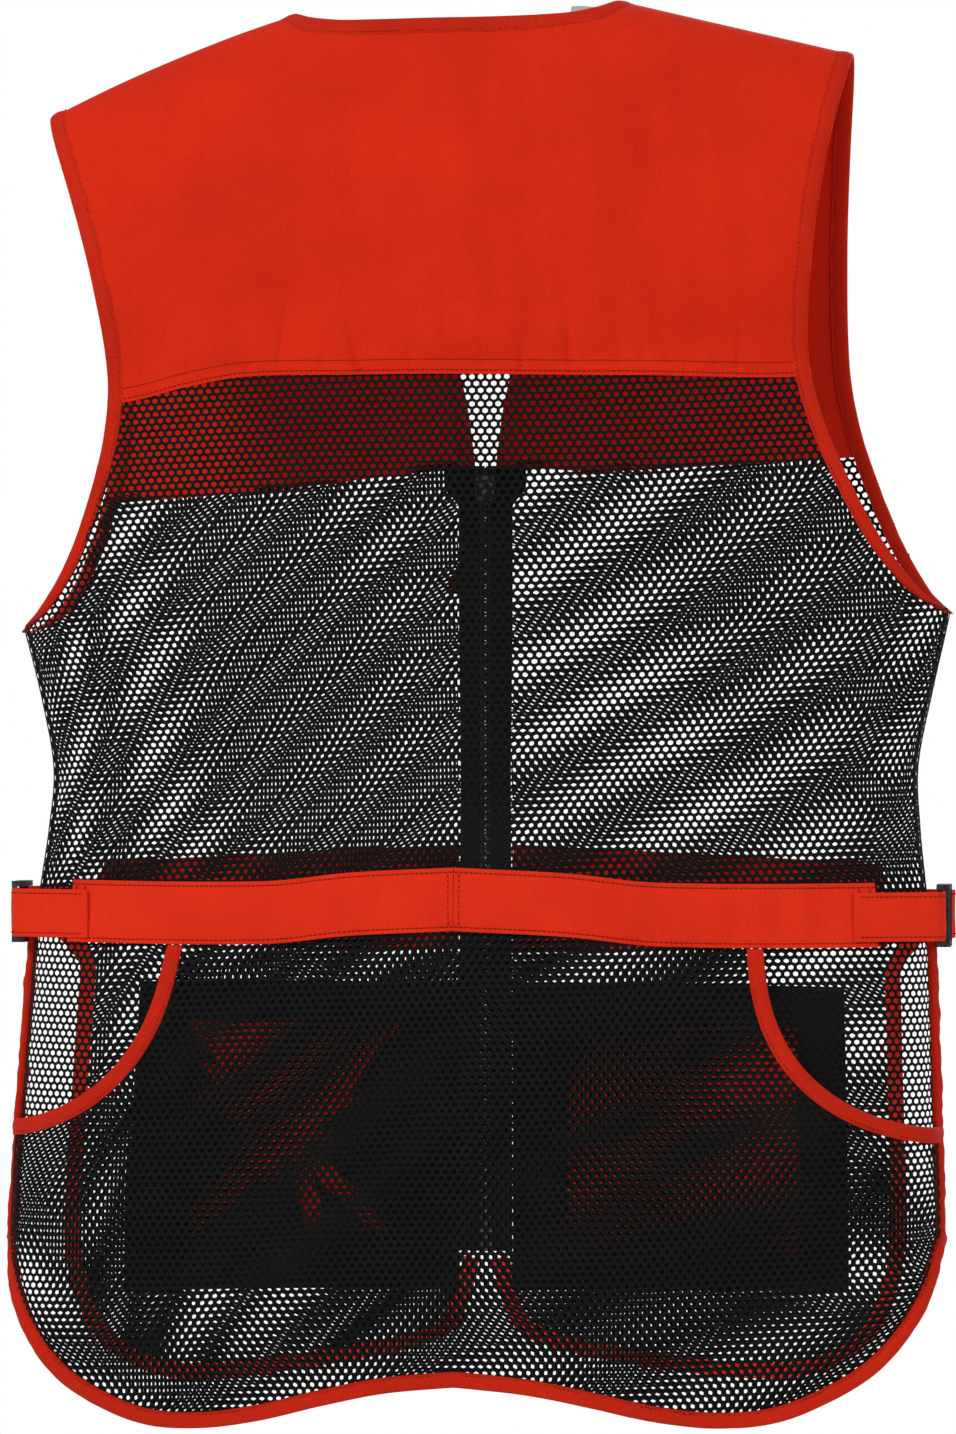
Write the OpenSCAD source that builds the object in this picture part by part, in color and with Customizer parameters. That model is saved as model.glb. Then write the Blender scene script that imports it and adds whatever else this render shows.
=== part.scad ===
// Mesh-backed shooting vest, hanging as worn. The wearer faces -Y, +X is the wearer's left and +Z is up.
// The origin lies on the shoulder line, midway between the neck points.
// Heights are written as drops: millimetres below the neck points, so z = -drop.

/* [Body size] */
// Half width of the garment at the underarm
half_chest = 260; // [250:1:268]
// Half width at the waist, its narrowest place
half_waist = 243; // [238:1:250]
// Half width at the hem
half_hem = 260; // [254:1:264]
// How far the back stands behind the shoulder line
back_depth = 60; // [52:1:66]
// How far the front stands before the shoulder line
front_depth = 62; // [54:1:66]
// Exponent of the plan outline: 2 is an ellipse, and more is squarer
squareness = 2.6; // [2.4:0.1:2.8]
// Height over which the cloth curves down from the shoulder line
shoulder_radius = 160; // [140:5:165]

/* [Neck and shoulders] */
// Half width of the neck hole at the shoulder line
neck_half = 91; // [86:1:95]
// Half width at the shoulder tips
tip_half = 227; // [223:1:230]
// Drop of the shoulder tips
tip_drop = 44; // [38:1:50]
// Drop of the back neckline at its middle
back_neck_drop = 8; // [6:1:12]
// Drop of the back yoke's lower edge
yoke_drop = 203; // [199:1:208]
// Drop of the underarm points
underarm_drop = 343; // [338:1:350]

/* [Waist and hem] */
// Drop of the belt's top edge at the sides
belt_drop = 486; // [480:1:490]
// Width of the back belt
belt_width = 35; // [30:1:38]
// How much higher the belt sits at the centre back
belt_rise = 8; // [4:1:10]
// Width of the side straps
strap_width = 27; // [24:1:28]
// How far the side straps stand off the side of the mesh
strap_stand_off = 10; // [9.5:0.5:11]
// Drop of the back hem at its lowest
hem_drop = 787; // [775:1:795]
// Drop of the front hem at its lowest
front_hem_drop = 772; // [765:1:775]

/* [Zip] */
// Drop of the zip's top end
zip_top = 252; // [251.6:0.1:252.8]
// Drop of the zip's bottom end
zip_bottom = 700; // [690:1:704]
// Distance from the zip's middle line to a tape's outer edge
tape_reach = 15; // [14:0.2:16.6]
// Length of the ribbon on the pull
ribbon_length = 42; // [30:1:50]
// Lean of the ribbon away from vertical
ribbon_lean = 26; // [0:1:27]

/* [Pockets and game bag] */
// Distance from the zip's middle line to the pocket backing's inner side
pocket_inner = 24; // [23.5:0.5:28]
// Distance from the zip's middle line to the pocket backing's outer side
pocket_outer = 204; // [198:1:206]
// Drop of the pocket backing's top
pocket_top = 547; // [543:1:552]
// Drop of the pocket backing's bottom
pocket_bottom = 722; // [716:1:726]
// Distance from the zip's middle line to the pocket front's inner side
patch_inner = 45; // [40:1:50]
// Distance from the zip's middle line to the pocket front's outer side
patch_outer = 185; // [180:1:190]
// Drop of the pocket front's top
patch_top = 566; // [562:1:570]
// Drop of the pocket front's bottom
patch_bottom = 708; // [702:1:712]
// How far the pocket front stands off the front panel
pocket_depth = 14; // [11:0.5:15]
// How far the game bag stands off the back at its middle
bag_depth = 20; // [16:0.5:22]

/* [Cloth] */
// Thickness of a cloth panel
cloth = 1.6; // [1.4:0.1:1.6]
// Width of the edge bindings
binding = 9; // [8:0.5:9]
// Thickness of the quilted shoulder pads
pad_thickness = 7; // [5:0.5:8]

/* [Drape] */
// Drop of the left shoulder tip below the mean of the two, as the vest hangs
tilt = 14; // [0:1:15]
// Sideways lean of the shoulders to the left, as the vest hangs
lean = 13.8; // [0:0.2:14]

/* [Hidden] */
LEFT = 1;
RIGHT = -1;
BACK = 1;
FRONT = -1;

ORANGE = "orangered";
MESH = "dimgray";
TRIM = "black";
METAL = "gray";

// gap left between neighbouring solids, and between layers of cloth that follow the same curve
gap = 0.3;
layer_gap = 0.9;
// the outer layer of cloth lies between these distances off the garment's surface
facing = 1.2;
over_low = cloth + layer_gap;
over_high = over_low + facing;

// front yokes: the lowest drop of the V, half its width there, and the girth the yoke's lower edge runs to
v_bottom = 250;
v_bottom_half = 6;
front_yoke_reach = 206;
// the front panels' outer edge below the side vents, and a drop on that edge
vent_half = 240;
vent_drop = 690;
// where the belt and the waistbands end, and where the straps start
belt_end = 220;
strap_start = 225;

// ---- outlines ----
// Each is a list of [position, value] that curve() follows smoothly.
armhole_outline = [
    [tip_drop, tip_half], [94, 212], [145, 201], [200, 195], [234, 200],
    [267, 211], [304, 228], [330, 246], [underarm_drop, half_chest]
];
front_armhole_outline = [
    [tip_drop, tip_half], [94, 219], [145, 213], [200, 210], [234, 213],
    [267, 221], [304, 234], [330, 248], [underarm_drop, half_chest]
];
side_outline = [
    [underarm_drop, half_chest], [385, 250], [424, half_waist], [458, 245], [500, 250],
    [600, 256], [690, half_hem], [800, half_hem]
];
shoulder_outline = [[0, -14], [45, -10], [neck_half, 0], [161, 21], [tip_half, tip_drop], [half_chest, 58]];
back_neck_outline = [[0, back_neck_drop], [60, back_neck_drop - 1], [80, 4], [neck_half, 0]];
v_neck_outline = [[0, neck_half], [30, 82], [80, 60], [150, 30], [210, 12], [v_bottom, v_bottom_half]];
// how far below yoke_drop the back yoke's lower edge hangs
yoke_sag_outline = [
    [-224, 9], [-177, 9], [-112, 5], [-58, 3], [0, 1.5], [60, 1], [116, 0], [150, 4], [175, 9], [195, 11], [224, 13]
];
front_yoke_outline = [
    [-half_chest, 252], [-120, 253], [-60, 254], [0, v_bottom], [60, 256], [120, 262], [half_chest, 268]
];
back_hem_outline = [
    [0, hem_drop - 23], [40, hem_drop - 19], [75, hem_drop - 12], [110, hem_drop - 4],
    [143, hem_drop], [175, hem_drop - 2], [205, hem_drop - 13], [230, hem_drop - 29],
    [248, hem_drop - 52], [257, hem_drop - 75], [half_hem, hem_drop - 97]
];
front_hem_outline = [
    [3, front_hem_drop - 70], [8, front_hem_drop - 48], [17, front_hem_drop - 28], [36, front_hem_drop - 18],
    [60, front_hem_drop - 12], [110, front_hem_drop - 4], [150, front_hem_drop], [185, front_hem_drop - 2],
    [209, front_hem_drop - 13], [226, front_hem_drop - 30], [236, front_hem_drop - 57],
    [vent_half, front_hem_drop - 82]
];
tilt_outline = [
    [0, tilt], [60, tilt], [yoke_drop, tilt * 0.57], [300, tilt * 0.35], [480, 0], [620, 0], [790, tilt * 0.41]
];
lean_outline = [
    [0, lean], [tip_drop, lean], [yoke_drop, lean * 0.114], [underarm_drop, -lean * 0.616],
    [500, -lean * 0.434], [690, -lean * 0.114], [800, -lean * 0.114]
];

// ---- arithmetic ----
function mix(a, b, t) = a + (b - a) * t;
function clamp(t, low, high) = min(max(t, low), high);
function smooth(t) = let (c = clamp(t, 0, 1)) c * c * (3 - 2 * c);
function unit(v) = v / norm(v);
function steps(from, to, count) = [for (i = [0 : count]) mix(from, to, i / count)];

// Smooth curve through a list of [position, value]
function curve(points, at) =
    let (
        last = len(points) - 1,
        c = clamp(at, points[0][0], points[last][0]),
        i = max([for (k = [0 : last - 1]) if (points[k][0] <= c) k]),
        a = points[i],
        b = points[i + 1],
        before = points[max(i - 1, 0)],
        after = points[min(i + 2, last)],
        span = b[0] - a[0],
        s = (c - a[0]) / span,
        rise_a = (b[1] - before[1]) / (b[0] - before[0]) * span,
        rise_b = (after[1] - a[1]) / (after[0] - a[0]) * span
    )
    a[1] * (1 + 2 * s) * (1 - s) * (1 - s) + rise_a * s * (1 - s) * (1 - s)
    + b[1] * s * s * (3 - 2 * s) - rise_b * s * s * (1 - s);

// ---- the garment's surface ----
// A place on it is [girth, drop, face]: girth is measured along the cloth from the middle line, positive to the
// wearer's left, and face is FRONT or BACK.
mean_half = (half_chest + half_waist) / 2;
mean_depth = (back_depth + front_depth) / 2;
section = [for (i = [0 : 60]) [pow(sin(1.5 * i), 2 / squareness), pow(cos(1.5 * i), 2 / squareness)]];
section_lengths = [
    for (i = [1 : 60])
        norm([(section[i].x - section[i - 1].x) * mean_half, (section[i].y - section[i - 1].y) * mean_depth])
];
function sum_to(list, n) = n == 0 ? 0 : list[n - 1] + sum_to(list, n - 1);
girths = [for (i = [0 : 60]) sum_to(section_lengths, i)];
side_girth = girths[60];
girth_to_x = [for (i = [0 : 60]) [girths[i], section[i].x]];
girth_to_y = [for (i = [0 : 60]) [girths[i], section[i].y]];
x_to_girth = [for (i = [0 : 60]) [section[i].x, girths[i]]];

function half_width(drop) = drop < underarm_drop ? half_chest : curve(side_outline, drop);
function shoulder_at(x) = curve(shoulder_outline, x);
function girth_of(x, drop) = lookup(min(abs(x) / half_width(drop), 1), x_to_girth) * (x < 0 ? -1 : 1);
function x_of(girth, drop) = lookup(abs(girth), girth_to_x) * half_width(drop) * (girth < 0 ? -1 : 1);

// How the hanging vest droops and leans, with nothing moved on its middle line
function drape(p) =
    let (
        drop = -p.z,
        weight = p.x * p.x / (p.x * p.x + neck_half * neck_half),
        fall = p.x * abs(p.x) / (tip_half * tip_half)
    )
    [p.x + curve(lean_outline, drop) * weight, p.y, p.z - curve(tilt_outline, drop) * fall];

// Point at a distance off the surface, outwards
function skin(place, off) =
    let (
        side = place[0] < 0 ? RIGHT : LEFT,
        drop = place[1],
        face = place[2],
        depth = face == BACK ? back_depth : front_depth,
        half = half_width(drop),
        fx = lookup(abs(place[0]), girth_to_x),
        fy = lookup(abs(place[0]), girth_to_y),
        reach = clamp((drop - shoulder_at(fx * half)) / shoulder_radius, 0, 1),
        swell = sqrt(1 - (1 - reach) * (1 - reach)),
        outward = unit([
            pow(fx, squareness - 1) * swell * swell / half,
            pow(fy, squareness - 1) * swell / depth + 1e-9,
            pow(fy, squareness) * (1 - reach) / shoulder_radius
        ])
    )
    drape([
        side * (fx * half + off * outward.x),
        face * (depth * swell * fy + off * outward.y),
        off * outward.z - drop
    ]);

function armhole(face) = face == BACK ? armhole_outline : front_armhole_outline;

// Girth of the armhole's edge, or of the side seam below it
function edge_girth(drop, face) =
    drop < underarm_drop ? girth_of(curve(armhole(face), drop), drop) : side_girth;
// The front's edge stops short of the side seam, and leaves it below the belt, where the side vent starts
front_side_girth = side_girth - 1.2;
function front_edge_girth(drop) =
    min(edge_girth(drop, FRONT), front_side_girth)
    - smooth((drop - belt_drop - 10) / 45) * (front_side_girth - girth_of(vent_half, vent_drop));

// ---- solids made from grids of points ----
function grid_faces(rows, columns) =
    let (n = rows * columns)
    concat(
        [for (r = [0 : rows - 2], c = [0 : columns - 2], k = [0, 1])
            let (a = r * columns + c, b = a + 1, d = a + columns, e = d + 1)
            k == 0 ? [a, b, e] : [a, e, d]],
        [for (r = [0 : rows - 2], c = [0 : columns - 2], k = [0, 1])
            let (a = n + r * columns + c, b = a + 1, d = a + columns, e = d + 1)
            k == 0 ? [a, e, b] : [a, d, e]],
        [for (c = [0 : columns - 2], k = [0, 1])
            k == 0 ? [c, n + c, n + c + 1] : [c, n + c + 1, c + 1]],
        [for (c = [0 : columns - 2], k = [0, 1])
            let (a = (rows - 1) * columns + c)
            k == 0 ? [a, n + a + 1, n + a] : [a, a + 1, n + a + 1]],
        [for (r = [0 : rows - 2], k = [0, 1])
            let (a = r * columns, d = a + columns)
            k == 0 ? [a, n + d, n + a] : [a, d, n + d]],
        [for (r = [0 : rows - 2], k = [0, 1])
            let (a = r * columns + columns - 1, d = a + columns)
            k == 0 ? [a, n + a, n + d] : [a, n + d, d]]
    );
function total(list) = list * [for (i = list) 1];
function signed_volume(points, faces) =
    total([for (f = faces) points[f[0]] * cross(points[f[1]], points[f[2]])]);

// Closed slab between two grids of the same size
module slab(inner, outer, rows, columns) {
    points = concat(inner, outer);
    faces = grid_faces(rows, columns);
    inside_out = signed_volume(points, faces) > 0;
    polyhedron(points, [for (f = faces) inside_out ? [f[2], f[1], f[0]] : f]);
}

// Cloth panel: place(across, down) gives the surface place for each pair of the two lists
module panel(across, down, place, low, high) {
    inner = [for (d = down, a = across) skin(place(a, d), low)];
    outer = [for (d = down, a = across) skin(place(a, d), high)];
    slab(inner, outer, len(down), len(across));
}

// Strip of cloth along a list of [outer place, inner place] pairs, at offs(place) and thick beyond that
module strip(pairs, offs, thick) {
    columns = [0, 1 / 3, 2 / 3, 1];
    places = [for (p = pairs, k = columns) mix(p[0], p[1], k)];
    inner = [for (p = places) skin(p, offs(p))];
    outer = [for (p = places) skin(p, offs(p) + thick)];
    slab(inner, outer, len(pairs), len(columns));
}

// Pairs for a binding along an edge on one face, with the cloth on the side where the point inside lies
function edge_pairs(path, inside, width) = [
    for (i = [0 : len(path) - 1])
        let (
            p = path[i],
            tangent = path[min(i + 1, len(path) - 1)] - path[max(i - 1, 0)],
            across = unit([-tangent[1], tangent[0]]),
            sense = across * [inside[0] - p[0], inside[1] - p[1]] < 0 ? -1 : 1
        )
        [p, [p[0] + sense * width * across[0], p[1] + sense * width * across[1], p[2]]]
];

// ---- shoulders ----
// Rows of a yoke, closer together just below the shoulder line, where the cloth turns over
function yoke_rows(count) = [for (v = steps(0, 1, count)) v * v];

// Place at a fall below the shoulder line
function fallen(girth, fall, face) = [girth, fall + shoulder_at(abs(x_of(girth, tip_drop))), face];

function top_of_yoke(x) = abs(x) < neck_half ? curve(back_neck_outline, abs(x)) : shoulder_at(abs(x));

// Drop of the back yoke's lower edge at a fraction of the way from the middle to an armhole
function yoke_edge(a) = yoke_drop + curve(yoke_sag_outline, a * curve(armhole_outline, yoke_drop));

module back_yoke() {
    reach = girth_of(tip_half, tip_drop);
    place = function (a, v)
        let (top = top_of_yoke(x_of(a * reach, tip_drop)), end = yoke_edge(a))
        [a * edge_girth(mix(tip_drop, end, v), BACK), mix(top, end, v), BACK];
    color(ORANGE) panel(steps(-1, 1, 28), yoke_rows(11), place, 0, cloth);
}

// Drop of a front yoke's lower edge, at a fraction of the way to the armhole from an inner girth
function front_yoke_edge(side, a, inner) = curve(front_yoke_outline, side * mix(inner, front_yoke_reach, a));
function front_yoke_end(side) = front_yoke_edge(side, 1, 0);

module front_yoke(side) {
    neck_girth = girth_of(neck_half, 0);
    reach = girth_of(tip_half, tip_drop);
    place = function (a, v)
        let (
            start = shoulder_at(x_of(mix(neck_girth, reach, a), tip_drop)),
            end = front_yoke_edge(side, a, v_bottom_half),
            neck_drop = mix(0, v_bottom, v),
            inner = mix(neck_girth, girth_of(curve(v_neck_outline, neck_drop), neck_drop), min(neck_drop, 1)),
            outer = edge_girth(mix(tip_drop, front_yoke_end(side), v), FRONT)
        )
        [side * mix(inner, outer, a), mix(start, end, v), FRONT];
    color(ORANGE) panel(steps(0, 1, 14), yoke_rows(12), place, 0, cloth);
}

module shoulder_pad(side) {
    pad_top = 48;
    pad_bottom = 236;
    margin = 22;
    place = function (a, v)
        let (
            drop = mix(pad_top, pad_bottom, v),
            inner = girth_of(curve(v_neck_outline, drop), drop) + margin,
            outer = edge_girth(drop, FRONT) - margin
        )
        [side * mix(inner, outer, a), drop, FRONT];
    color(ORANGE) panel(steps(0, 1, 8), steps(0, 1, 10), place, over_low, over_low + pad_thickness);
}

// Inward step that makes a binding its full width on a sloping edge
function inset(outline, drop) =
    let (slope = (curve(outline, drop + 2) - curve(outline, drop - 2)) / 4)
    binding * sqrt(1 + min(slope * slope, 1.4));

function armhole_pair(side, drop, face) =
    let (
        edge = edge_girth(drop, face),
        fall = drop - shoulder_at(abs(x_of(edge, drop))),
        inner = edge - inset(armhole(face), min(drop, underarm_drop - 6)),
        start = shoulder_at(abs(x_of(inner, drop)))
    )
    [[side * edge, drop, face], [side * inner, fall + start, face]];

// Drops from the shoulder tip down to an end, closer together near both
function armhole_drops(end, count) =
    [for (u = steps(0, 1, count)) mix(tip_drop, end, 1 - pow(1 - pow(u, 1.8), 1.7))];

on_panel = function (p) over_low;

module armhole_binding(side) {
    back_steps = 30;
    front_steps = 18;
    back = armhole_drops(underarm_drop, back_steps);
    front = armhole_drops(front_yoke_end(side), front_steps);
    pairs = concat(
        [for (i = [front_steps : -1 : 1]) armhole_pair(side, front[i], FRONT)],
        [for (i = [0 : back_steps]) armhole_pair(side, back[i], BACK)]
    );
    color(ORANGE) strip(pairs, on_panel, facing);
}

module front_armhole_binding(side) {
    start = front_yoke_end(side) + 2 * gap;
    pairs = [for (drop = steps(start, underarm_drop, 12)) armhole_pair(side, drop, FRONT)];
    trimmed = [for (p = pairs) [[side * min(abs(p[0][0]), front_side_girth), p[0][1], FRONT], p[1]]];
    color(ORANGE) strip(trimmed, on_panel, facing);
}

module neck_binding() {
    count = 18;
    turn_start = 66;
    v_drops = [for (i = [0 : count]) v_bottom * pow(i / count, 1.6)];
    v_pair = function (side, drop)
        let (
            edge = girth_of(curve(v_neck_outline, drop), drop),
            fall = drop - shoulder_at(abs(x_of(edge, drop))),
            inner = edge + inset(v_neck_outline, max(drop, 2))
        )
        [[side * edge, drop, FRONT], [side * inner, fall + shoulder_at(abs(x_of(inner, drop))), FRONT]];
    // at the neck points the binding's width turns from down the back to along the shoulder
    back_pair = function (x)
        let (
            girth = girth_of(x, 0),
            turn = 90 * (1 - smooth((abs(x) - turn_start) / (neck_half - turn_start))),
            fall = curve(back_neck_outline, abs(x)) - shoulder_at(abs(x)),
            inner = girth + (x < 0 ? -1 : 1) * binding * cos(turn)
        )
        [fallen(girth, fall, BACK), fallen(inner, fall + binding * sin(turn), BACK)];
    pairs = concat(
        [for (i = [count : -1 : 0]) v_pair(LEFT, v_drops[i])],
        [for (t = steps(6, 174, 28)) back_pair(neck_half * cos(t))],
        [for (i = [0 : count]) v_pair(RIGHT, v_drops[i])]
    );
    color(ORANGE) strip(pairs, on_panel, facing);
}

module size_label() {
    place = function (a, v) [mix(girth_of(-82, 0), girth_of(-54, 0), a), mix(4, 25, v), BACK];
    color("lightgray") panel(steps(0, 1, 4), steps(0, 1, 8), place, -2 * layer_gap - 0.8, -2 * layer_gap);
}

module hang_loop() {
    loop_outer = 27;
    loop_inner = 20;
    color(ORANGE)
        translate([0, 28, -14]) rotate([24.5, 0, 0]) rotate([90, 0, 0])
            linear_extrude(height = 1.2, center = true)
                difference() {
                    circle(r = loop_outer, $fn = 64);
                    circle(r = loop_inner, $fn = 64);
                    translate([-loop_outer, 0]) square([2 * loop_outer, loop_outer]);
                }
}

// ---- back ----
function back_hem(x) = curve(back_hem_outline, abs(x));

module back_mesh() {
    place = function (a, v)
        let (
            end = back_hem(x_of(a * side_girth, hem_drop)),
            drop = v < 1 ? mix(yoke_edge(a) + gap, underarm_drop, v) : mix(underarm_drop, end, v - 1)
        )
        [a * edge_girth(drop, BACK), drop, BACK];
    // columns close together at the sides, where the mesh wraps round
    across = [for (t = steps(-90, 90, 36)) sin(t)];
    down = concat([for (u = steps(0, 0.9, 9)) 1 - pow(1 - u, 1.8)], steps(1, 2, 11));
    color(MESH) panel(across, down, place, 0, cloth);
}

function belt_top(x) = curve(
    [[0, belt_drop - belt_rise], [60, belt_drop - belt_rise + 3], [110, belt_drop], [half_chest, belt_drop]],
    abs(x)
);

// One half of the back belt: the two halves meet at the centre seam
module waist_belt(side) {
    end = girth_of(belt_end, belt_drop);
    place = function (a, v)
        let (girth = side * mix(gap, end, a))
        [girth, belt_top(x_of(girth, belt_drop)) + v * belt_width, BACK];
    color(ORANGE) panel(steps(0, 1, 22), [0, 0.5, 1], place, over_low, over_high + 0.6);
}

// The game bag's side openings are quarter ovals cut from its top corners
mouth_start = 165;
mouth_height = 100;
bag_top = belt_drop + belt_width + layer_gap;
mouth_steps = 16;
mouth_girth = girth_of(mouth_start, bag_top);
mouth_points = [
    for (u = steps(0, 1, mouth_steps)) let (t = 90 * smooth(u)) [
        mix(side_girth, mouth_girth, pow(cos(t), 0.85)),
        bag_top + mouth_height * pow(sin(t), 0.85)
    ]
];

// The bag bulges between the belt and the edge binding, and lies flat under the binding
function bag_stand_off(girth, drop) =
    let (
        margin = binding + 3,
        v = clamp((drop - bag_top) / (back_hem(x_of(girth, drop)) - margin - bag_top), 0, 1),
        across = 1 - pow(min(abs(girth) / (side_girth - margin), 1), 6)
    )
    over_low + (bag_depth - over_low) * pow(sin(180 * pow(v, 0.8)), 0.7) * across;

module game_bag_mesh() {
    middle = [
        for (g = steps(-mouth_girth, mouth_girth, 24))
            [g, belt_top(x_of(g, belt_drop)) + belt_width + layer_gap]
    ];
    left = [for (i = [1 : mouth_steps]) mouth_points[i]];
    right = [for (i = [mouth_steps : -1 : 1]) [-mouth_points[i][0], mouth_points[i][1]]];
    tops = concat(right, middle, left);
    down = concat([0, 0.03, 0.07, 0.12, 0.18, 0.26, 0.35], steps(0.45, 0.85, 4), [0.92, 0.97, 1]);
    places = [for (v = down, t = tops) [t[0], mix(t[1], back_hem(x_of(t[0], hem_drop)), v), BACK]];
    inner = [for (p = places) skin(p, bag_stand_off(p[0], p[1]))];
    outer = [for (p = places) skin(p, bag_stand_off(p[0], p[1]) + cloth)];
    color(MESH) slab(inner, outer, len(down), len(tops));
}

module bag_binding(side) {
    end = side_girth - binding - layer_gap;
    path = [for (p = mouth_points) [side * min(p[0], end), p[1], BACK]];
    kept = [for (i = [0 : mouth_steps]) if (i == mouth_steps || mouth_points[i + 1][0] < end) path[i]];
    on_bag = function (p) bag_stand_off(p[0], p[1]) + cloth + layer_gap;
    color(ORANGE) strip(edge_pairs(kept, [0, bag_top + 1.6 * mouth_height], binding), on_bag, facing);
}

module back_hem_binding() {
    count = 30;
    bottom = [for (t = steps(0, 90, count)) sin(t) * side_girth];
    corner = [for (g = bottom) [g, back_hem(x_of(g, hem_drop)), BACK]];
    side = [for (drop = steps(bag_top + 4, hem_drop - 100, 8)) [side_girth, drop, BACK]];
    left = concat(side, [for (i = [count : -1 : 1]) corner[i]]);
    right = [for (i = [len(left) - 1 : -1 : 0]) [-left[i][0], left[i][1], BACK]];
    path = concat(left, [corner[0]], right);
    on_bag_edge = function (p) over_low + cloth + layer_gap;
    color(ORANGE) strip(edge_pairs(path, [0, bag_top], binding), on_bag_edge, facing);
}

module side_seam_tape(side) {
    tape = 8;
    place = function (a, v) [side * mix(side_girth - tape, side_girth, a), mix(underarm_drop, belt_drop, v), BACK];
    color(TRIM) panel(steps(0, 1, 4), steps(0, 1, 11), place, -layer_gap - 1, -layer_gap);
}

// ---- fronts ----
function front_hem(x) = curve(front_hem_outline, abs(x));

module front_mesh(side) {
    inner = tape_reach + layer_gap;
    rim = girth_of(vent_half, vent_drop);
    place = function (a, v)
        let (
            start = front_yoke_edge(side, a, inner) + 2 * gap,
            end = front_hem(x_of(mix(inner, rim, a), vent_drop)),
            drop = v < 1 ? mix(start, underarm_drop, v) : mix(underarm_drop, end, v - 1)
        )
        [side * mix(inner, front_edge_girth(drop), a), drop, FRONT];
    across = [for (t = steps(0, 90, 20)) sin(t)];
    down = concat(steps(0, 0.8, 4), steps(1, 2, 13));
    color(MESH) panel(across, down, place, 0, cloth);
}

module front_waistband(side) {
    end = girth_of(belt_end, belt_drop);
    top = [belt_drop - 18, belt_drop - 8];
    bottom = [belt_drop + belt_width + 7, belt_drop + belt_width + 3];
    start = tape_reach + layer_gap;
    place = function (a, v)
        [side * mix(start, end, a), mix(mix(top[0], top[1], a), mix(bottom[0], bottom[1], a), v), FRONT];
    color(ORANGE) panel(steps(0, 1, 20), steps(0, 1, 3), place, over_low, over_high);
}

module front_hem_binding(side) {
    rim = girth_of(vent_half, vent_drop);
    start = girth_of(3.6, vent_drop);
    bottom = [
        for (t = steps(0, 180, 30))
            let (g = mix(start, rim, 0.5 - 0.5 * cos(t)))
            [g, front_hem(x_of(g, vent_drop))]
    ];
    up = [for (drop = steps(front_hem_drop - 90, bag_top + 24, 6)) [front_edge_girth(drop), drop]];
    path = [for (p = concat(bottom, up)) [side * p[0], p[1], FRONT]];
    color(ORANGE) strip(edge_pairs(path, [side * rim / 2, bag_top], binding), on_panel, facing);
}

// ---- belt straps and their tri-glides ----
strap_drop = 505;
strap_thickness = 1.6;
strap_front_end = -16;
strap_straight_end = 27;
strap_end_girth = girth_of(strap_start, strap_drop);

function strap_x(side) = drape([side * half_width(strap_drop), 0, -strap_drop]).x + side * strap_stand_off;

// Plan outline of a ribbon that follows a path
function ribbon_outline(path, thickness) =
    let (
        across = [
            for (i = [0 : len(path) - 1])
                let (t = unit(path[min(i + 1, len(path) - 1)] - path[max(i - 1, 0)]))
                [-t[1], t[0]] * thickness / 2
        ]
    )
    concat(
        [for (i = [0 : len(path) - 1]) path[i] + across[i]],
        [for (i = [len(path) - 1 : -1 : 0]) path[i] - across[i]]
    );

module strap(path) {
    translate([0, 0, -strap_drop - strap_width / 2])
        linear_extrude(height = strap_width)
            polygon(ribbon_outline(path, strap_thickness));
}

function flat(p) = [p.x, p.y];

module side_strap(side) {
    x = strap_x(side);
    end = flat(skin([side * strap_end_girth, strap_drop, BACK], over_high));
    bend = [x, strap_straight_end];
    color(ORANGE) strap([[x, strap_front_end], bend, mix(bend, end, 0.5) + [side * 1.5, 1.5], end]);
}

module front_strap(side) {
    x = strap_x(side);
    end = flat(skin([side * strap_end_girth, strap_drop, FRONT], over_high));
    start = [x, strap_front_end - 2 * gap];
    color(ORANGE) strap([start, mix(start, end, 0.4) + [side * 2, -1], end]);
}

// Tri-glide: the strap passes inside its two end bars and outside its middle bar
glide_length = 22;
glide_bar = 3.2;
glide_wall = 2.6;
glide_centre = 4;

module tri_glide(side) {
    inner_x = strap_thickness / 2 + gap;
    reach = inner_x + glide_wall;
    opening = strap_width + 1.4;
    rail = 3;
    color(TRIM)
        translate([strap_x(side), glide_centre, -strap_drop])
            scale([side, 1, 1]) {
                for (end = [-1, 1])
                    translate([inner_x, end * (glide_length - glide_bar) / 2 - glide_bar / 2, -opening / 2])
                        cube([glide_wall, glide_bar, opening]);
                translate([-reach, -glide_bar / 2, -opening / 2])
                    cube([glide_wall, glide_bar, opening]);
                for (end = [-1, 1])
                    translate([-reach, -glide_length / 2, end * (opening + rail) / 2 - rail / 2])
                        cube([2 * reach, glide_length, rail]);
            }
}

// ---- zip, flat on the plane of the garment's middle line ----
tape_inner = 3.2;
tape_thickness = 0.8;
chain_low = 0.9;
chain_high = 3.1;
slider_top = zip_top + 4.4;
slider_length = 17;
slider_half = 5.6;
pivot_drop = slider_top + 5.5;
pivot_off = 5.2;
pivot_r = 0.8;

// Block given by its two extents across, down from the shoulders and off the garment's front
module block(across, drops, offs) {
    translate([min(across), -front_depth - max(offs), -max(drops)])
        cube([abs(across[1] - across[0]), abs(offs[1] - offs[0]), abs(drops[1] - drops[0])]);
}

module zip_tape(side) {
    color(TRIM) block([side * tape_inner, side * tape_reach], [zip_top, zip_bottom], [0, tape_thickness]);
}

module zip_chain(side) {
    end = side == LEFT ? zip_bottom - 17 : zip_bottom - 18;
    color(TRIM) block([side * chain_low, side * chain_high], [slider_top + 1, end], [-0.8, 1.6]);
}

module zip_top_stop(side) {
    color(TRIM) block([side * chain_low, side * chain_high], [zip_top + 1, slider_top - gap], [-0.8, 1.6]);
}

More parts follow.
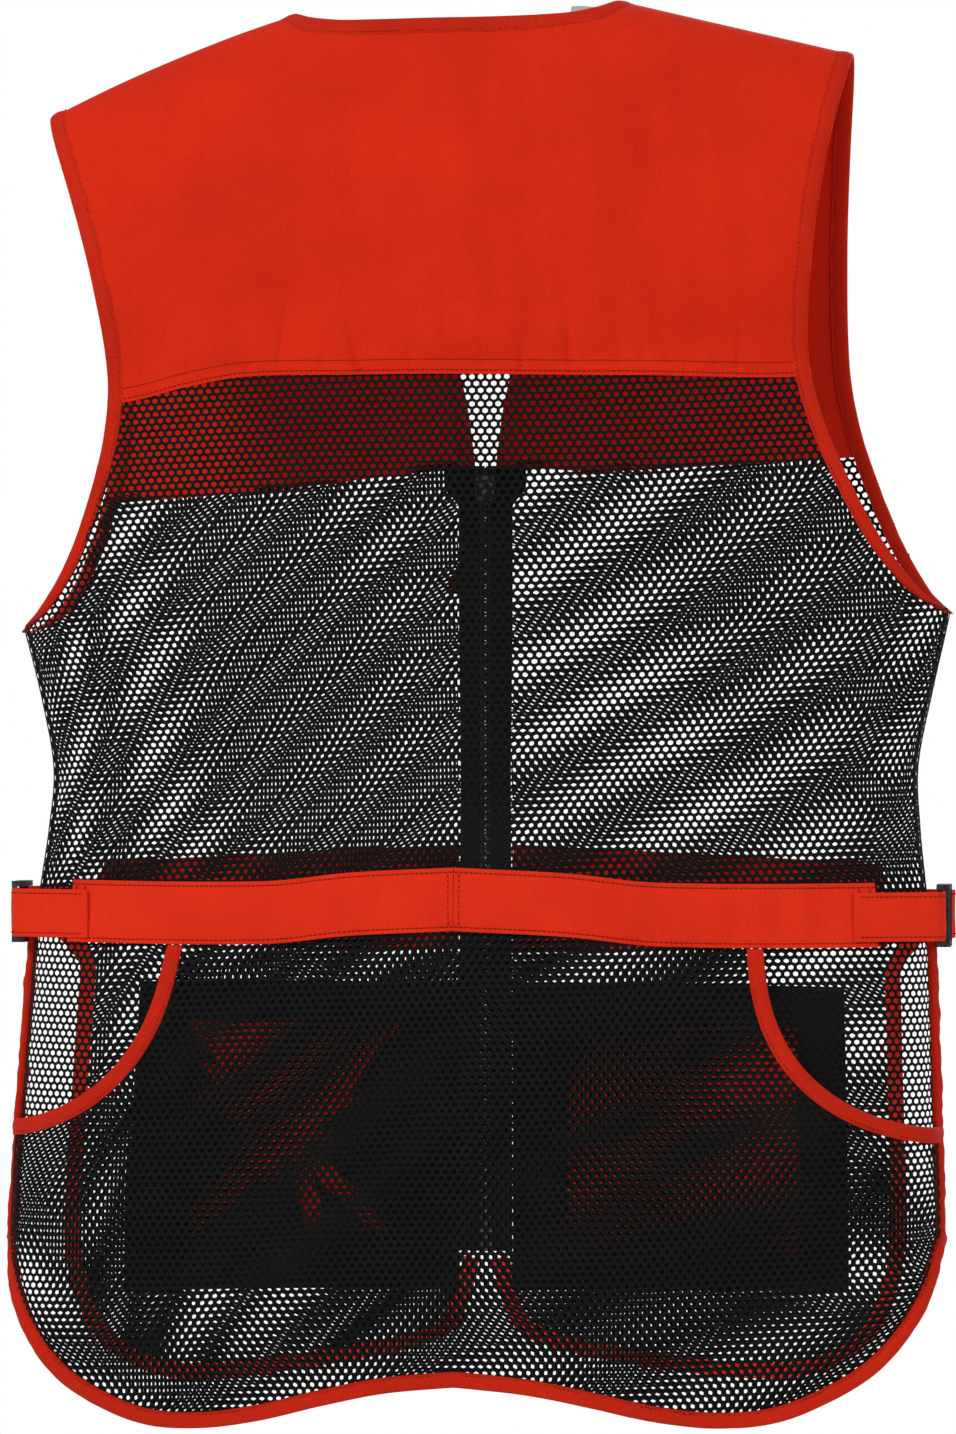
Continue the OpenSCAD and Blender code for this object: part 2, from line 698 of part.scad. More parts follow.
// The left tape's box, open on its right so that the pin can leave it
module zip_box() {
    top = zip_bottom - 16;
    color(TRIM) {
        block([1.2, 3.1], [top, zip_bottom], [-2.4, 3.2]);
        block([-4.4, 1.2], [top, zip_bottom], [2, 3.2]);
        block([-4.4, 1.2], [top, zip_bottom], [-2.4, -1.2]);
    }
}

module zip_pin() {
    color(TRIM) block([-3.1, -0.9], [zip_bottom - 17, zip_bottom - 1], [-0.8, 1.6]);
}

module zip_slider() {
    color(METAL) {
        for (offs = [[2, 3.2], [-2.4, -1.2]])
            translate([0, -front_depth - offs[1], -slider_top - slider_length / 2])
                rotate([-90, 0, 0])
                    linear_extrude(height = offs[1] - offs[0])
                        hull() {
                            for (x = [-1, 1], z = [-1, 1])
                                translate([x * (slider_half - 2 + z * 0.8), z * (2 - slider_length / 2)])
                                    circle(r = 2 - 0.8 * z * x * x, $fn = 32);
                        }
        block([-0.5, 0.5], [slider_top + 0.4, slider_top + 4.4], [-1.2, 2]);
        for (side = [LEFT, RIGHT])
            block([side * 2.4, side * 3.6], [pivot_drop - 2.4, pivot_drop + 2.4], [3.2, pivot_off + 1.2]);
        translate([0, -front_depth - pivot_off, -pivot_drop])
            rotate([0, 90, 0]) cylinder(r = pivot_r, h = 5, center = true, $fn = 48);
    }
}

pull_end = pivot_drop + 24;

module zip_pull() {
    tab_half = 3.2;
    color(METAL)
        difference() {
            union() {
                translate([0, -front_depth - pivot_off, -pivot_drop])
                    rotate([0, 90, 0]) cylinder(r = 1.6, h = 4.2, center = true, $fn = 48);
                block([-2, 2], [pivot_drop, pivot_drop + 4.2], [pivot_off - 0.6, pivot_off + 0.6]);
                block([-tab_half, tab_half], [pivot_drop + 4, pull_end], [pivot_off - 0.6, pivot_off + 0.6]);
            }
            translate([0, -front_depth - pivot_off, -pivot_drop])
                rotate([0, 90, 0]) cylinder(r = pivot_r + 0.1, h = 6, center = true, $fn = 48);
            block([-2, 2], [pull_end - 5, pull_end - 2], [pivot_off - 2, pivot_off + 2]);
        }
}

module pull_ribbon() {
    color(ORANGE)
        translate([0, -front_depth - pivot_off, -pull_end - 2.8])
            rotate([0, -ribbon_lean, 0])
                translate([-5, -0.7, -ribbon_length])
                    cube([10, 1.4, ribbon_length]);
}

// ---- pockets ----
back_off = [over_low, over_low + 1];
patch_off = [pocket_depth, pocket_depth + 1.4];
mouth_off = patch_off + [1, 1] * (1.4 + gap);
mouth_band = 20;
pocket_sides = [girth_of(pocket_inner, patch_top), girth_of(pocket_outer, patch_top)];
patch_sides = [girth_of(patch_inner, patch_top), girth_of(patch_outer, patch_top)];

module pocket_panel(side, ends, drops, offs) {
    place = function (a, v) [side * mix(ends[0], ends[1], a), mix(drops[0], drops[1], v), FRONT];
    panel(steps(0, 1, 12), steps(0, 1, 4), place, offs[0], offs[1]);
}

module pocket_backing(side) {
    color(TRIM) pocket_panel(side, pocket_sides, [pocket_top, pocket_bottom], back_off);
}

module pocket_front(side) {
    color(ORANGE) pocket_panel(side, patch_sides, [patch_top, patch_bottom], patch_off);
}

module pocket_mouth(side) {
    color(ORANGE) pocket_panel(side, patch_sides, [patch_top, patch_top + mouth_band], mouth_off);
}

// Points round three sides of a pocket, from the top of one side down, along the bottom and up the other side
function pocket_rim(side, girths, drops) = concat(
    [for (d = steps(drops[0], drops[1], 3)) [side * girths[0], d, FRONT]],
    [for (g = steps(girths[0], girths[1], 7)) if (g > girths[0]) [side * g, drops[1], FRONT]],
    [for (d = steps(drops[1], drops[0], 3)) if (d < drops[1]) [side * girths[1], d, FRONT]]
);

// Bellows: sloping walls from the backing's edge to the pocket front's edge
module pocket_gusset(side) {
    base = pocket_rim(side, pocket_sides, [pocket_top, pocket_bottom]);
    rim = pocket_rim(side, patch_sides, [patch_top, patch_bottom]);
    low = back_off[1] + gap;
    high = patch_off[0] - gap;
    inner = [for (i = [0 : len(base) - 1], k = [0, 1]) k == 0 ? skin(base[i], low) : skin(rim[i], high - facing)];
    outer = [for (i = [0 : len(base) - 1], k = [0, 1]) k == 0 ? skin(base[i], low + facing) : skin(rim[i], high)];
    color(TRIM) slab(inner, outer, len(base), 2);
}

back_yoke();
back_mesh();
game_bag_mesh();
bag_binding(LEFT);  // bag_binding_left
bag_binding(RIGHT);  // bag_binding_right
waist_belt(LEFT);  // waist_belt_left
waist_belt(RIGHT);  // waist_belt_right
neck_binding();
armhole_binding(LEFT);  // armhole_binding_left
armhole_binding(RIGHT);  // armhole_binding_right
back_hem_binding();
front_yoke(LEFT);  // front_yoke_left
front_yoke(RIGHT);  // front_yoke_right
shoulder_pad(LEFT);  // shoulder_pad_left
shoulder_pad(RIGHT);  // shoulder_pad_right
side_seam_tape(LEFT);  // side_seam_tape_left
side_seam_tape(RIGHT);  // side_seam_tape_right
side_strap(LEFT);  // side_strap_left
side_strap(RIGHT);  // side_strap_right
size_label();
hang_loop();
tri_glide(LEFT);  // tri_glide_left
tri_glide(RIGHT);  // tri_glide_right
front_mesh(LEFT);  // front_mesh_left
front_mesh(RIGHT);  // front_mesh_right
front_waistband(LEFT);  // front_waistband_left
front_waistband(RIGHT);  // front_waistband_right
front_strap(LEFT);  // front_strap_left
front_strap(RIGHT);  // front_strap_right
front_hem_binding(LEFT);  // front_hem_binding_left
front_hem_binding(RIGHT);  // front_hem_binding_right
front_armhole_binding(LEFT);  // front_armhole_binding_left
front_armhole_binding(RIGHT);  // front_armhole_binding_right
zip_tape(LEFT);  // zip_tape_left
zip_tape(RIGHT);  // zip_tape_right
zip_chain(LEFT);  // zip_chain_left
zip_chain(RIGHT);  // zip_chain_right
zip_top_stop(LEFT);  // zip_top_stop_left
zip_top_stop(RIGHT);  // zip_top_stop_right
zip_box();
zip_pin();
zip_slider();
zip_pull();
pull_ribbon();
pocket_backing(LEFT);  // pocket_backing_left
pocket_backing(RIGHT);  // pocket_backing_right
pocket_gusset(LEFT);  // pocket_gusset_left
pocket_gusset(RIGHT);  // pocket_gusset_right
pocket_front(LEFT);  // pocket_front_left
pocket_front(RIGHT);  // pocket_front_right
pocket_mouth(LEFT);  // pocket_mouth_left
pocket_mouth(RIGHT);  // pocket_mouth_right
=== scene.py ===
"""Blaze orange mesh vest: the looks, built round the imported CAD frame.

Garment sizes are in millimetres and Blender's objects in metres. A place on the garment is (girth, drop):
millimetres round from the middle of the back or front, and millimetres below the neck points. skin() turns
places into points.
"""
import math

import bpy
import numpy as np
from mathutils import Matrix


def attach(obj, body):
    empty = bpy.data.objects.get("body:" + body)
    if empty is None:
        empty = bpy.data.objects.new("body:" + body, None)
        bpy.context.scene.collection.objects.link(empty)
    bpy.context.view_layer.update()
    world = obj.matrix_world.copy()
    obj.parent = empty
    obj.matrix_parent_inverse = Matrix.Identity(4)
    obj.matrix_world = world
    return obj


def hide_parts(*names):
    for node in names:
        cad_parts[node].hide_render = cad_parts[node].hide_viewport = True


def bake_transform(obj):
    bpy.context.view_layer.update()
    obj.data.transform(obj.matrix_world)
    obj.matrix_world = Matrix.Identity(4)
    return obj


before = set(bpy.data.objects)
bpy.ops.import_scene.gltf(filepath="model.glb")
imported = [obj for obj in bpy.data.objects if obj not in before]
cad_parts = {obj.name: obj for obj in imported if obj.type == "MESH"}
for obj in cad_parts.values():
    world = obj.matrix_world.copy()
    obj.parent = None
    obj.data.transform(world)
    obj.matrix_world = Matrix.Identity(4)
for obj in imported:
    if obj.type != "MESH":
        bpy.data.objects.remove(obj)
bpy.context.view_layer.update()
MM = 0.001
LEFT, RIGHT = 1, -1
BACK, FRONT = 1, -1
SIDE_NAMES = {LEFT: "left", RIGHT: "right"}

# ---------------------------------------------------------------- garment sizes, as in the CAD source
half_chest, half_waist, half_hem = 260, 243, 260
back_depth, front_depth = 60, 62
squareness = 2.6
shoulder_radius = 160
neck_half, tip_half, tip_drop = 91, 227, 44
back_neck_drop, yoke_drop, underarm_drop = 8, 203, 343
belt_drop, belt_width, belt_rise = 486, 35, 8
strap_width, strap_stand_off, strap_drop = 27, 10, 505
hem_drop, front_hem_drop = 787, 772
zip_top, zip_bottom, tape_reach = 252, 700, 15
ribbon_length, ribbon_lean = 42, 26
pocket_sides, pocket_drops = (24, 204), (547, 722)
patch_sides, patch_drops = (45, 185), (566, 708)
pocket_depth, bag_depth = 14, 20
cloth, binding_width, pad_thickness = 1.6, 9, 7
tilt, lean = 14, 13.8
layer_gap = 0.9
over_low = cloth + layer_gap
slider_top = zip_top + 4.4
pivot_drop, pivot_off = slider_top + 5.5, 5.2
front_yoke_reach = 206

armhole_outline = [(tip_drop, tip_half), (94, 212), (145, 201), (200, 195), (234, 200),
                   (267, 211), (304, 228), (330, 246), (underarm_drop, half_chest)]
front_armhole_outline = [(tip_drop, tip_half), (94, 219), (145, 213), (200, 210), (234, 213),
                         (267, 221), (304, 234), (330, 248), (underarm_drop, half_chest)]
side_outline = [(underarm_drop, half_chest), (385, 250), (424, half_waist), (458, 245), (500, 250),
                (600, 256), (690, half_hem), (800, half_hem)]
shoulder_outline = [(0, -14), (45, -10), (neck_half, 0), (161, 21), (tip_half, tip_drop), (half_chest, 58)]
back_neck_outline = [(0, back_neck_drop), (60, back_neck_drop - 1), (80, 4), (neck_half, 0)]
v_neck_outline = [(0, neck_half), (30, 82), (80, 60), (150, 30), (210, 12), (250, 6)]
front_yoke_outline = [(-half_chest, 252), (-120, 253), (-60, 254), (0, 250), (60, 256), (120, 262),
                      (half_chest, 268)]
back_hem_outline = [(0, hem_drop - 23), (40, hem_drop - 19), (75, hem_drop - 12), (110, hem_drop - 4),
                    (143, hem_drop), (175, hem_drop - 2), (205, hem_drop - 13), (230, hem_drop - 29),
                    (248, hem_drop - 52), (257, hem_drop - 75), (half_hem, hem_drop - 97)]
front_hem_outline = [(3, front_hem_drop - 70), (8, front_hem_drop - 48), (17, front_hem_drop - 28),
                     (36, front_hem_drop - 18), (60, front_hem_drop - 12), (110, front_hem_drop - 4),
                     (150, front_hem_drop), (185, front_hem_drop - 2), (209, front_hem_drop - 13),
                     (226, front_hem_drop - 30), (236, front_hem_drop - 57), (240, front_hem_drop - 82)]
yoke_sag_outline = [(-224, 9), (-177, 9), (-112, 5), (-58, 3), (0, 1.5), (60, 1), (116, 0), (150, 4),
                    (175, 9), (195, 11), (224, 13)]
tilt_outline = [(0, tilt), (60, tilt), (yoke_drop, tilt * 0.57), (300, tilt * 0.35), (480, 0), (620, 0),
                (790, tilt * 0.41)]
lean_outline = [(0, lean), (tip_drop, lean), (yoke_drop, lean * 0.114), (underarm_drop, -lean * 0.616),
                (500, -lean * 0.434), (690, -lean * 0.114), (800, -lean * 0.114)]
belt_outline = [(0, belt_drop - belt_rise), (60, belt_drop - belt_rise + 3), (110, belt_drop),
                (half_chest, belt_drop)]
mouth_start, mouth_height = 165, 100
belt_half, hem_level, pocket_level, v_end, mesh_split = 222, 690, 620, 250, 505

# ---------------------------------------------------------------- sizes of the looks alone
# knitted mesh: cells across and down, the hole's share of a cell's width, and the cloth's share of its area
PITCH, ROW, HOLE, NET_SOLID = 4.68, 3.73, 0.58, 0.64
# the line across which the mesh is pulled
PULL_ACROSS = (0.82, -0.57)
# edge bindings: their middle off the surface, and their thickness
BAND_MIDDLE, BAND_THICK = cloth / 2 + 0.2, 3.8
# the pads hold the front yokes flatter than the back one
FRONT_FOLDS = 0.25
# how far the bellows pleat of each pocket's gusset lies behind its front
PLEAT = {LEFT: 46, RIGHT: 4}
# quilting of a shoulder pad: its drops, its channels, and the frames of its simulation
PAD_DROPS, PAD_CHANNELS, SIM_FRAMES = (48, 236), 5, 18
# each piece's first material is its cloth, and the second its thread
THREAD_SLOT = 1


# ---------------------------------------------------------------- arithmetic
def curve(points, at):
    """Smooth curve through a list of (position, value), for one position or an array."""
    p = np.array(points, float)
    x, y = p[:, 0], p[:, 1]
    c = np.clip(np.asarray(at, float), x[0], x[-1])
    i = np.clip(np.searchsorted(x, c, side="right") - 1, 0, len(x) - 2)
    before, after = np.maximum(i - 1, 0), np.minimum(i + 2, len(x) - 1)
    span = x[i + 1] - x[i]
    s = (c - x[i]) / span
    rise_a = (y[i + 1] - y[before]) / (x[i + 1] - x[before]) * span
    rise_b = (y[after] - y[i]) / (x[after] - x[i]) * span
    return (y[i] * (1 + 2 * s) * (1 - s) ** 2 + rise_a * s * (1 - s) ** 2
            + y[i + 1] * s * s * (3 - 2 * s) - rise_b * s * s * (1 - s))


def mix(a, b, t):
    return a + (b - a) * t


def smooth(t):
    c = np.clip(t, 0, 1)
    return c * c * (3 - 2 * c)


def squarish(value, power):
    """A sine or cosine with its corners filled out, for flattened rings."""
    return np.sign(value) * np.abs(value) ** power


def waves(u, v, size, seed, count=7):
    """Soft random relief between about -1 and 1 whose folds are about size millimetres across."""
    draw = np.random.default_rng(seed)
    total = np.zeros(np.broadcast(u, v).shape)
    for _ in range(count):
        angle, phase = draw.uniform(0, 2 * math.pi), draw.uniform(0, 2 * math.pi)
        stretch = draw.uniform(0.6, 1.6)
        k = 2 * math.pi / (size * stretch)
        total += np.sin(k * (u * math.cos(angle) + v * math.sin(angle)) + phase)
    return total / math.sqrt(count)


# ---------------------------------------------------------------- the garment's surface
mean_half, mean_depth = (half_chest + half_waist) / 2, (back_depth + front_depth) / 2
turn = np.linspace(0, math.pi / 2, 901)
section_x, section_y = np.sin(turn) ** (2 / squareness), np.cos(turn) ** (2 / squareness)
section_y[-1] = 0
section_girth = np.concatenate([[0], np.cumsum(np.hypot(np.diff(section_x) * mean_half,
                                                        np.diff(section_y) * mean_depth))])
side_girth = section_girth[-1]


def half_width(drop):
    """Half width of the worn garment at a drop."""
    return np.where(drop < underarm_drop, half_chest, curve(side_outline, drop))


def girth_of(x, drop):
    """Girth of a place x millimetres from the middle."""
    return np.interp(np.minimum(np.abs(x) / half_width(drop), 1), section_x, section_girth) * np.sign(x)


def x_of(girth, drop):
    """Distance from the middle of a place at a girth."""
    return np.interp(np.abs(girth), section_girth, section_x) * half_width(drop) * np.sign(girth)


def shoulder_at(x):
    """Drop of the shoulder line."""
    return curve(shoulder_outline, np.abs(x))


def skin(girth, drop, face, off):
    """Points, in millimetres, at a distance off the surface, for numbers or for arrays of one shape."""
    girth, drop, face, off = np.broadcast_arrays(*(np.asarray(a, float) for a in (girth, drop, face, off)))
    depth = np.where(face > 0, back_depth, front_depth)
    half = half_width(drop)
    fx = np.interp(np.abs(girth), section_girth, section_x)
    fy = np.interp(np.abs(girth), section_girth, section_y)
    reach = np.clip((drop - shoulder_at(fx * half)) / shoulder_radius, 0, 1)
    swell = np.sqrt(1 - (1 - reach) ** 2)
    out = np.stack([fx ** (squareness - 1) * swell ** 2 / half,
                    fy ** (squareness - 1) * swell / depth + 1e-9,
                    fy ** squareness * (1 - reach) / shoulder_radius], -1)
    out /= np.linalg.norm(out, axis=-1, keepdims=True)
    side = np.where(girth < 0, -1.0, 1.0)
    p = np.stack([side * (fx * half + off * out[..., 0]),
                  face * (depth * swell * fy + off * out[..., 1]),
                  off * out[..., 2] - drop], -1)
    weight = p[..., 0] ** 2 / (p[..., 0] ** 2 + neck_half ** 2)
    fallen = -p[..., 2]
    across = p[..., 0].copy()
    p[..., 0] += curve(lean_outline, fallen) * weight
    p[..., 2] -= curve(tilt_outline, fallen) * across * np.abs(across) / tip_half ** 2
    return p


def armhole(face):
    return armhole_outline if face > 0 else front_armhole_outline


def edge_girth(drop, face):
    return np.where(drop < underarm_drop, girth_of(curve(armhole(face), drop), drop), side_girth)


def front_edge_girth(drop):
    """A front's side edge: at the side seam, and cut away below the belt."""
    vent = smooth((drop - belt_drop - 10) / 45) * (side_girth - 1.2 - girth_of(240, hem_level))
    return np.minimum(edge_girth(drop, FRONT), side_girth - 1.2) - vent


def back_hem(x):
    return curve(back_hem_outline, np.abs(x))


def front_hem(x):
    return curve(front_hem_outline, np.abs(x))


def yoke_edge(girth):
    """Drop of the back yoke's lower edge."""
    return yoke_drop + curve(yoke_sag_outline, x_of(girth, yoke_drop))


def front_yoke_end(side):
    """Drop of a front yoke's lower edge at the armhole."""
    return float(curve(front_yoke_outline, side * front_yoke_reach))


bag_top = belt_drop + belt_width + layer_gap
mouth_girth = float(girth_of(mouth_start, bag_top))


def mouth_path(count):
    """The curved edge of the game bag's mouth, from the side seam to the belt."""
    t = np.linspace(0, math.pi / 2, count)
    across = np.clip(np.cos(t), 0, 1) ** 0.85
    return mix(side_girth, mouth_girth, across), bag_top + mouth_height * np.sin(t) ** 0.85


def mouth_drop(girth):
    """Drop of the game bag's top edge at a girth."""
    g, d = mouth_path(181)
    return np.where(np.abs(girth) < mouth_girth, bag_top - 12, np.interp(np.abs(girth), g, d))


def bag_stand_off(girth, drop):
    """The bag bulges between the belt and the edge binding, and lies flat under the binding."""
    margin = binding_width + 3
    v = np.clip((drop - bag_top) / (back_hem(x_of(girth, drop)) - margin - bag_top), 0, 1)
    across = 1 - np.minimum(np.abs(girth) / (side_girth - margin), 1) ** 6
    return over_low + (bag_depth - over_low) * np.sin(math.pi * v ** 0.8) ** 0.7 * across


# ---------------------------------------------------------------- hanging folds, alike for layers that touch
def body_folds(girth, drop, face):
    """Soft sag of the mesh body: nothing at the edges that are sewn."""
    seed, hem = (11, back_hem) if face > 0 else (23, front_hem)
    hold = smooth((drop - yoke_drop - 10) / 60) * smooth((side_girth - 10 - np.abs(girth)) / 40)
    hold = hold * smooth((hem(x_of(girth, drop)) - 12 - drop) / 40)
    belt = 1 - 0.85 * np.exp(-((drop - 503) / 45.0) ** 2)
    if face < 0:
        hold = hold * smooth((np.abs(girth) - 18) / 30)
    return waves(girth, drop * 0.35, 120, seed) * 1.8 * hold * belt


# ---------------------------------------------------------------- materials
class Nodes:
    """A short way to write a node tree."""

    def __init__(self, name):
        self.material = bpy.data.materials.new(name)
        self.material.use_nodes = True
        self.tree = self.material.node_tree
        self.shader = self.tree.nodes["Principled BSDF"]

    def add(self, kind, inputs=(), **settings):
        made = self.tree.nodes.new(kind)
        for key, value in settings.items():
            setattr(made, key, value)
        for key, value in dict(inputs).items():
            if isinstance(value, bpy.types.NodeSocket):
                self.tree.links.new(value, made.inputs[key])
            else:
                made.inputs[key].default_value = value
        return made

    def math(self, operation, a, b=0.0):
        return self.add("ShaderNodeMath", {0: a, 1: b}, operation=operation).outputs[0]

    def noise(self, vector, scale, detail=2.0, roughness=0.5):
        inputs = {"Vector": vector, "Scale": scale, "Detail": detail, "Roughness": roughness}
        return self.add("ShaderNodeTexNoise", inputs).outputs["Fac"]

    def scaled(self, vector, scale):
        return self.add("ShaderNodeMapping", {"Vector": vector, "Scale": scale}).outputs[0]

    def mix(self, factor, a, b):
        made = self.add("ShaderNodeMix", data_type="RGBA")
        for index, value in ((0, factor), (6, a), (7, b)):
            if isinstance(value, bpy.types.NodeSocket):
                self.tree.links.new(value, made.inputs[index])
            else:
                made.inputs[index].default_value = value if index == 0 else (*value, 1)
        return made.outputs[2]

    def range(self, value, low, high, to_low=0.0, to_high=1.0):
        inputs = {"Value": value, "From Min": low, "From Max": high, "To Min": to_low, "To Max": to_high}
        return self.add("ShaderNodeMapRange", inputs).outputs[0]

    def bump(self, height, distance):
        made = self.add("ShaderNodeBump", {"Height": height, "Distance": distance, "Strength": 1.0})
        self.tree.links.new(made.outputs[0], self.shader.inputs["Normal"])

    def set(self, **values):
        for key, value in values.items():
            socket = self.shader.inputs[key.replace("_", " ").title().replace("Ior", "IOR")]
            if isinstance(value, bpy.types.NodeSocket):
                self.tree.links.new(value, socket)
            else:
                socket.default_value = value


def woven(name, dark, light, thread=0.00045, roughness=0.85, depth=0.00012, rib=1.0):
    """Plain weave: fine threads both ways, slubs, and slow patches of lighter and darker dye."""
    n = Nodes(name)
    uv = n.add("ShaderNodeUVMap", uv_map="cloth").outputs[0]
    place = n.add("ShaderNodeTexCoord").outputs["Object"]
    warp = n.noise(n.scaled(uv, (1 / thread, 0.06 / thread, 1)), 1.0, 1.0)
    weft = n.noise(n.scaled(uv, (0.06 / thread, rib / thread, 1)), 1.0, 1.0)
    threads = n.math("ADD", n.math("MULTIPLY", warp, 0.5), n.math("MULTIPLY", weft, 0.5))
    patches = n.noise(place, 14.0, 3.0, 0.6)
    creases = n.noise(place, 55.0, 2.0, 0.5)
    tone = n.math("ADD", n.range(threads, 0.35, 0.65, -0.22, 0.22), n.range(patches, 0.3, 0.7, 0.2, 0.8))
    n.set(base_color=n.mix(tone, dark, light),
          roughness=n.range(patches, 0.3, 0.7, roughness - 0.06, roughness + 0.06),
          sheen_weight=0.04, sheen_roughness=0.45, specular_ior_level=0.1)
    n.bump(n.math("ADD", threads, n.math("MULTIPLY", creases, 1.5)), depth)
    return n.material


def knitted(name, dark, light):
    """Yarn of the open mesh: fine filaments with a soft shine."""
    n = Nodes(name)
    place = n.add("ShaderNodeTexCoord").outputs["Object"]
    yarn = n.noise(place, 2600.0, 2.0, 0.7)
    patches = n.noise(place, 30.0, 2.0)
    tone = n.math("MULTIPLY", yarn, n.range(patches, 0.3, 0.7, 0.6, 1.2))
    n.set(base_color=n.mix(tone, dark, light),
          roughness=n.range(yarn, 0.3, 0.7, 0.5, 0.8), sheen_weight=0.01, specular_ior_level=0.1)
    n.bump(yarn, 0.00025)
    return n.material


def hard(name, dark, light, roughness, metallic=0.0):
    """Moulded plastic or enamel: fine texture, faint scuffs and a lighter rubbed tone on raised edges."""
    n = Nodes(name)
    place = n.add("ShaderNodeTexCoord").outputs["Object"]
    fine = n.noise(place, 900.0, 3.0, 0.6)
    scuffs = n.noise(n.scaled(place, (1, 0.3, 1)), 260.0, 4.0, 0.7)
    edges = n.add("ShaderNodeNewGeometry").outputs["Pointiness"]
    rubbed = n.math("MULTIPLY", n.range(edges, 0.52, 0.6), n.range(scuffs, 0.4, 0.65))
    n.set(base_color=n.mix(rubbed, dark, light), metallic=metallic,
          roughness=n.range(scuffs, 0.3, 0.7, roughness - 0.08, roughness + 0.1))
    n.bump(fine, 0.00006)
    return n.material


POPLIN = woven("orange_poplin", (0.66, 0.0185, 0.0038), (0.86, 0.0295, 0.0065))
BINDING = woven("orange_binding", (0.54, 0.016, 0.0038), (0.72, 0.026, 0.0065), roughness=0.8,
                depth=0.00018)
BELT = woven("orange_belt", (0.78, 0.025, 0.0062), (0.96, 0.039, 0.011), thread=0.0005, roughness=0.8,
             depth=0.00018)
LINING = woven("pocket_cloth", (0.006, 0.006, 0.006), (0.016, 0.015, 0.015), thread=0.0005)
TAPE = woven("zip_tape_cloth", (0.006, 0.006, 0.0065), (0.02, 0.02, 0.021), thread=0.0007, rib=0.5,
             depth=0.0002)
LABEL = woven("label_satin", (0.42, 0.42, 0.41), (0.6, 0.6, 0.58), thread=0.0004, roughness=0.5)
# the thread is dyed darker than the cloth it sews, so each row of stitches reads as a dark line: partly the
# thread's own colour, partly painted shade of the groove where the stitches sink in
THREAD_DARKENED_FOR_SHADE = woven("orange_thread_with_painted_shade", (0.24, 0.007, 0.002), (0.42, 0.014, 0.004), thread=0.0003, roughness=0.6)
DARK_THREAD = woven("black_thread", (0.006, 0.006, 0.006), (0.03, 0.03, 0.03), thread=0.0003, roughness=0.6)
NET = knitted("black_mesh", (0.003, 0.003, 0.003), (0.011, 0.011, 0.011))
PLASTIC = hard("black_nylon", (0.009, 0.009, 0.0095), (0.06, 0.06, 0.062), 0.4)
TEETH = hard("black_acetal", (0.006, 0.006, 0.0065), (0.05, 0.05, 0.052), 0.34)
ENAMEL = hard("black_enamel", (0.014, 0.014, 0.015), (0.32, 0.31, 0.3), 0.3, metallic=0.7)


# ---------------------------------------------------------------- mesh making
def put(name, data):
    """A new object in the scene."""
    made = bpy.data.objects.new(name, data)
    bpy.context.scene.collection.objects.link(made)
    return made


def make(name, points, quads, uv, materials, which=None, crease=50):
    """One object from points in millimetres, four-sided faces and cloth coordinates in metres."""
    mesh = bpy.data.meshes.new(name)
    mesh.from_pydata((np.asarray(points).reshape(-1, 3) * MM).tolist(), [], np.asarray(quads).tolist())
    for material in materials:
        mesh.materials.append(material)
    if which is not None:
        mesh.polygons.foreach_set("material_index", np.asarray(which, np.int32))
    corners = np.empty(len(mesh.loops), np.int32)
    mesh.loops.foreach_get("vertex_index", corners)
    layer = mesh.uv_layers.new(name="cloth")
    layer.data.foreach_set("uv", np.asarray(uv, np.float32).reshape(-1, 2)[corners].ravel())
    mesh.shade_smooth()
    mesh.set_sharp_from_angle(angle=math.radians(crease))
    mesh.update()
    return put(name, mesh)


class Parts:
    """Gathers several bits of mesh into one piece."""

    def __init__(self):
        self.points, self.quads, self.uv, self.which, self.count = [], [], [], [], 0

    def add(self, points, quads, uv, which=0):
        points = np.asarray(points, float).reshape(-1, 3)
        quads = np.asarray(quads, int).reshape(-1, 4)
        self.points.append(points)
        self.quads.append(quads + self.count)
        self.uv.append(np.asarray(uv, float).reshape(-1, 2))
        self.which.append(np.full(len(quads), which))
        self.count += len(points)

    def build(self, name, materials, crease=50):
        return make(name, np.concatenate(self.points), np.concatenate(self.quads), np.concatenate(self.uv),
                    materials, np.concatenate(self.which), crease)


def pairs(girth, drop):
    """Places on the garment from girths and drops, either of which may be one number."""
    return np.stack(np.broadcast_arrays(girth, drop), -1)


def cloth_uv(along, across):
    """Cloth coordinates, in metres, from millimetres along and across."""
    return pairs(along, across) * MM


def run_along(path):
    """Distance of each point of a path from its start."""
    return np.concatenate([[0], np.cumsum(np.linalg.norm(np.diff(path, axis=0), axis=1))])


def grid_quads(rows, columns, wrap=False):
    r, c = np.meshgrid(np.arange(rows - 1), np.arange(columns if wrap else columns - 1), indexing="ij")
    a, b = r * columns + c, r * columns + (c + 1) % columns
    return np.stack([a, b, b + columns, a + columns], -1).reshape(-1, 4)


def add_slab(parts, girth, drop, face, low, high):
    """Closed cloth panel: girth and drop are arrays of rows and columns."""
    inner, outer = skin(girth, drop, face, low), skin(girth, drop, face, high)
    add_shell(parts, inner, outer, cloth_uv(girth, drop))


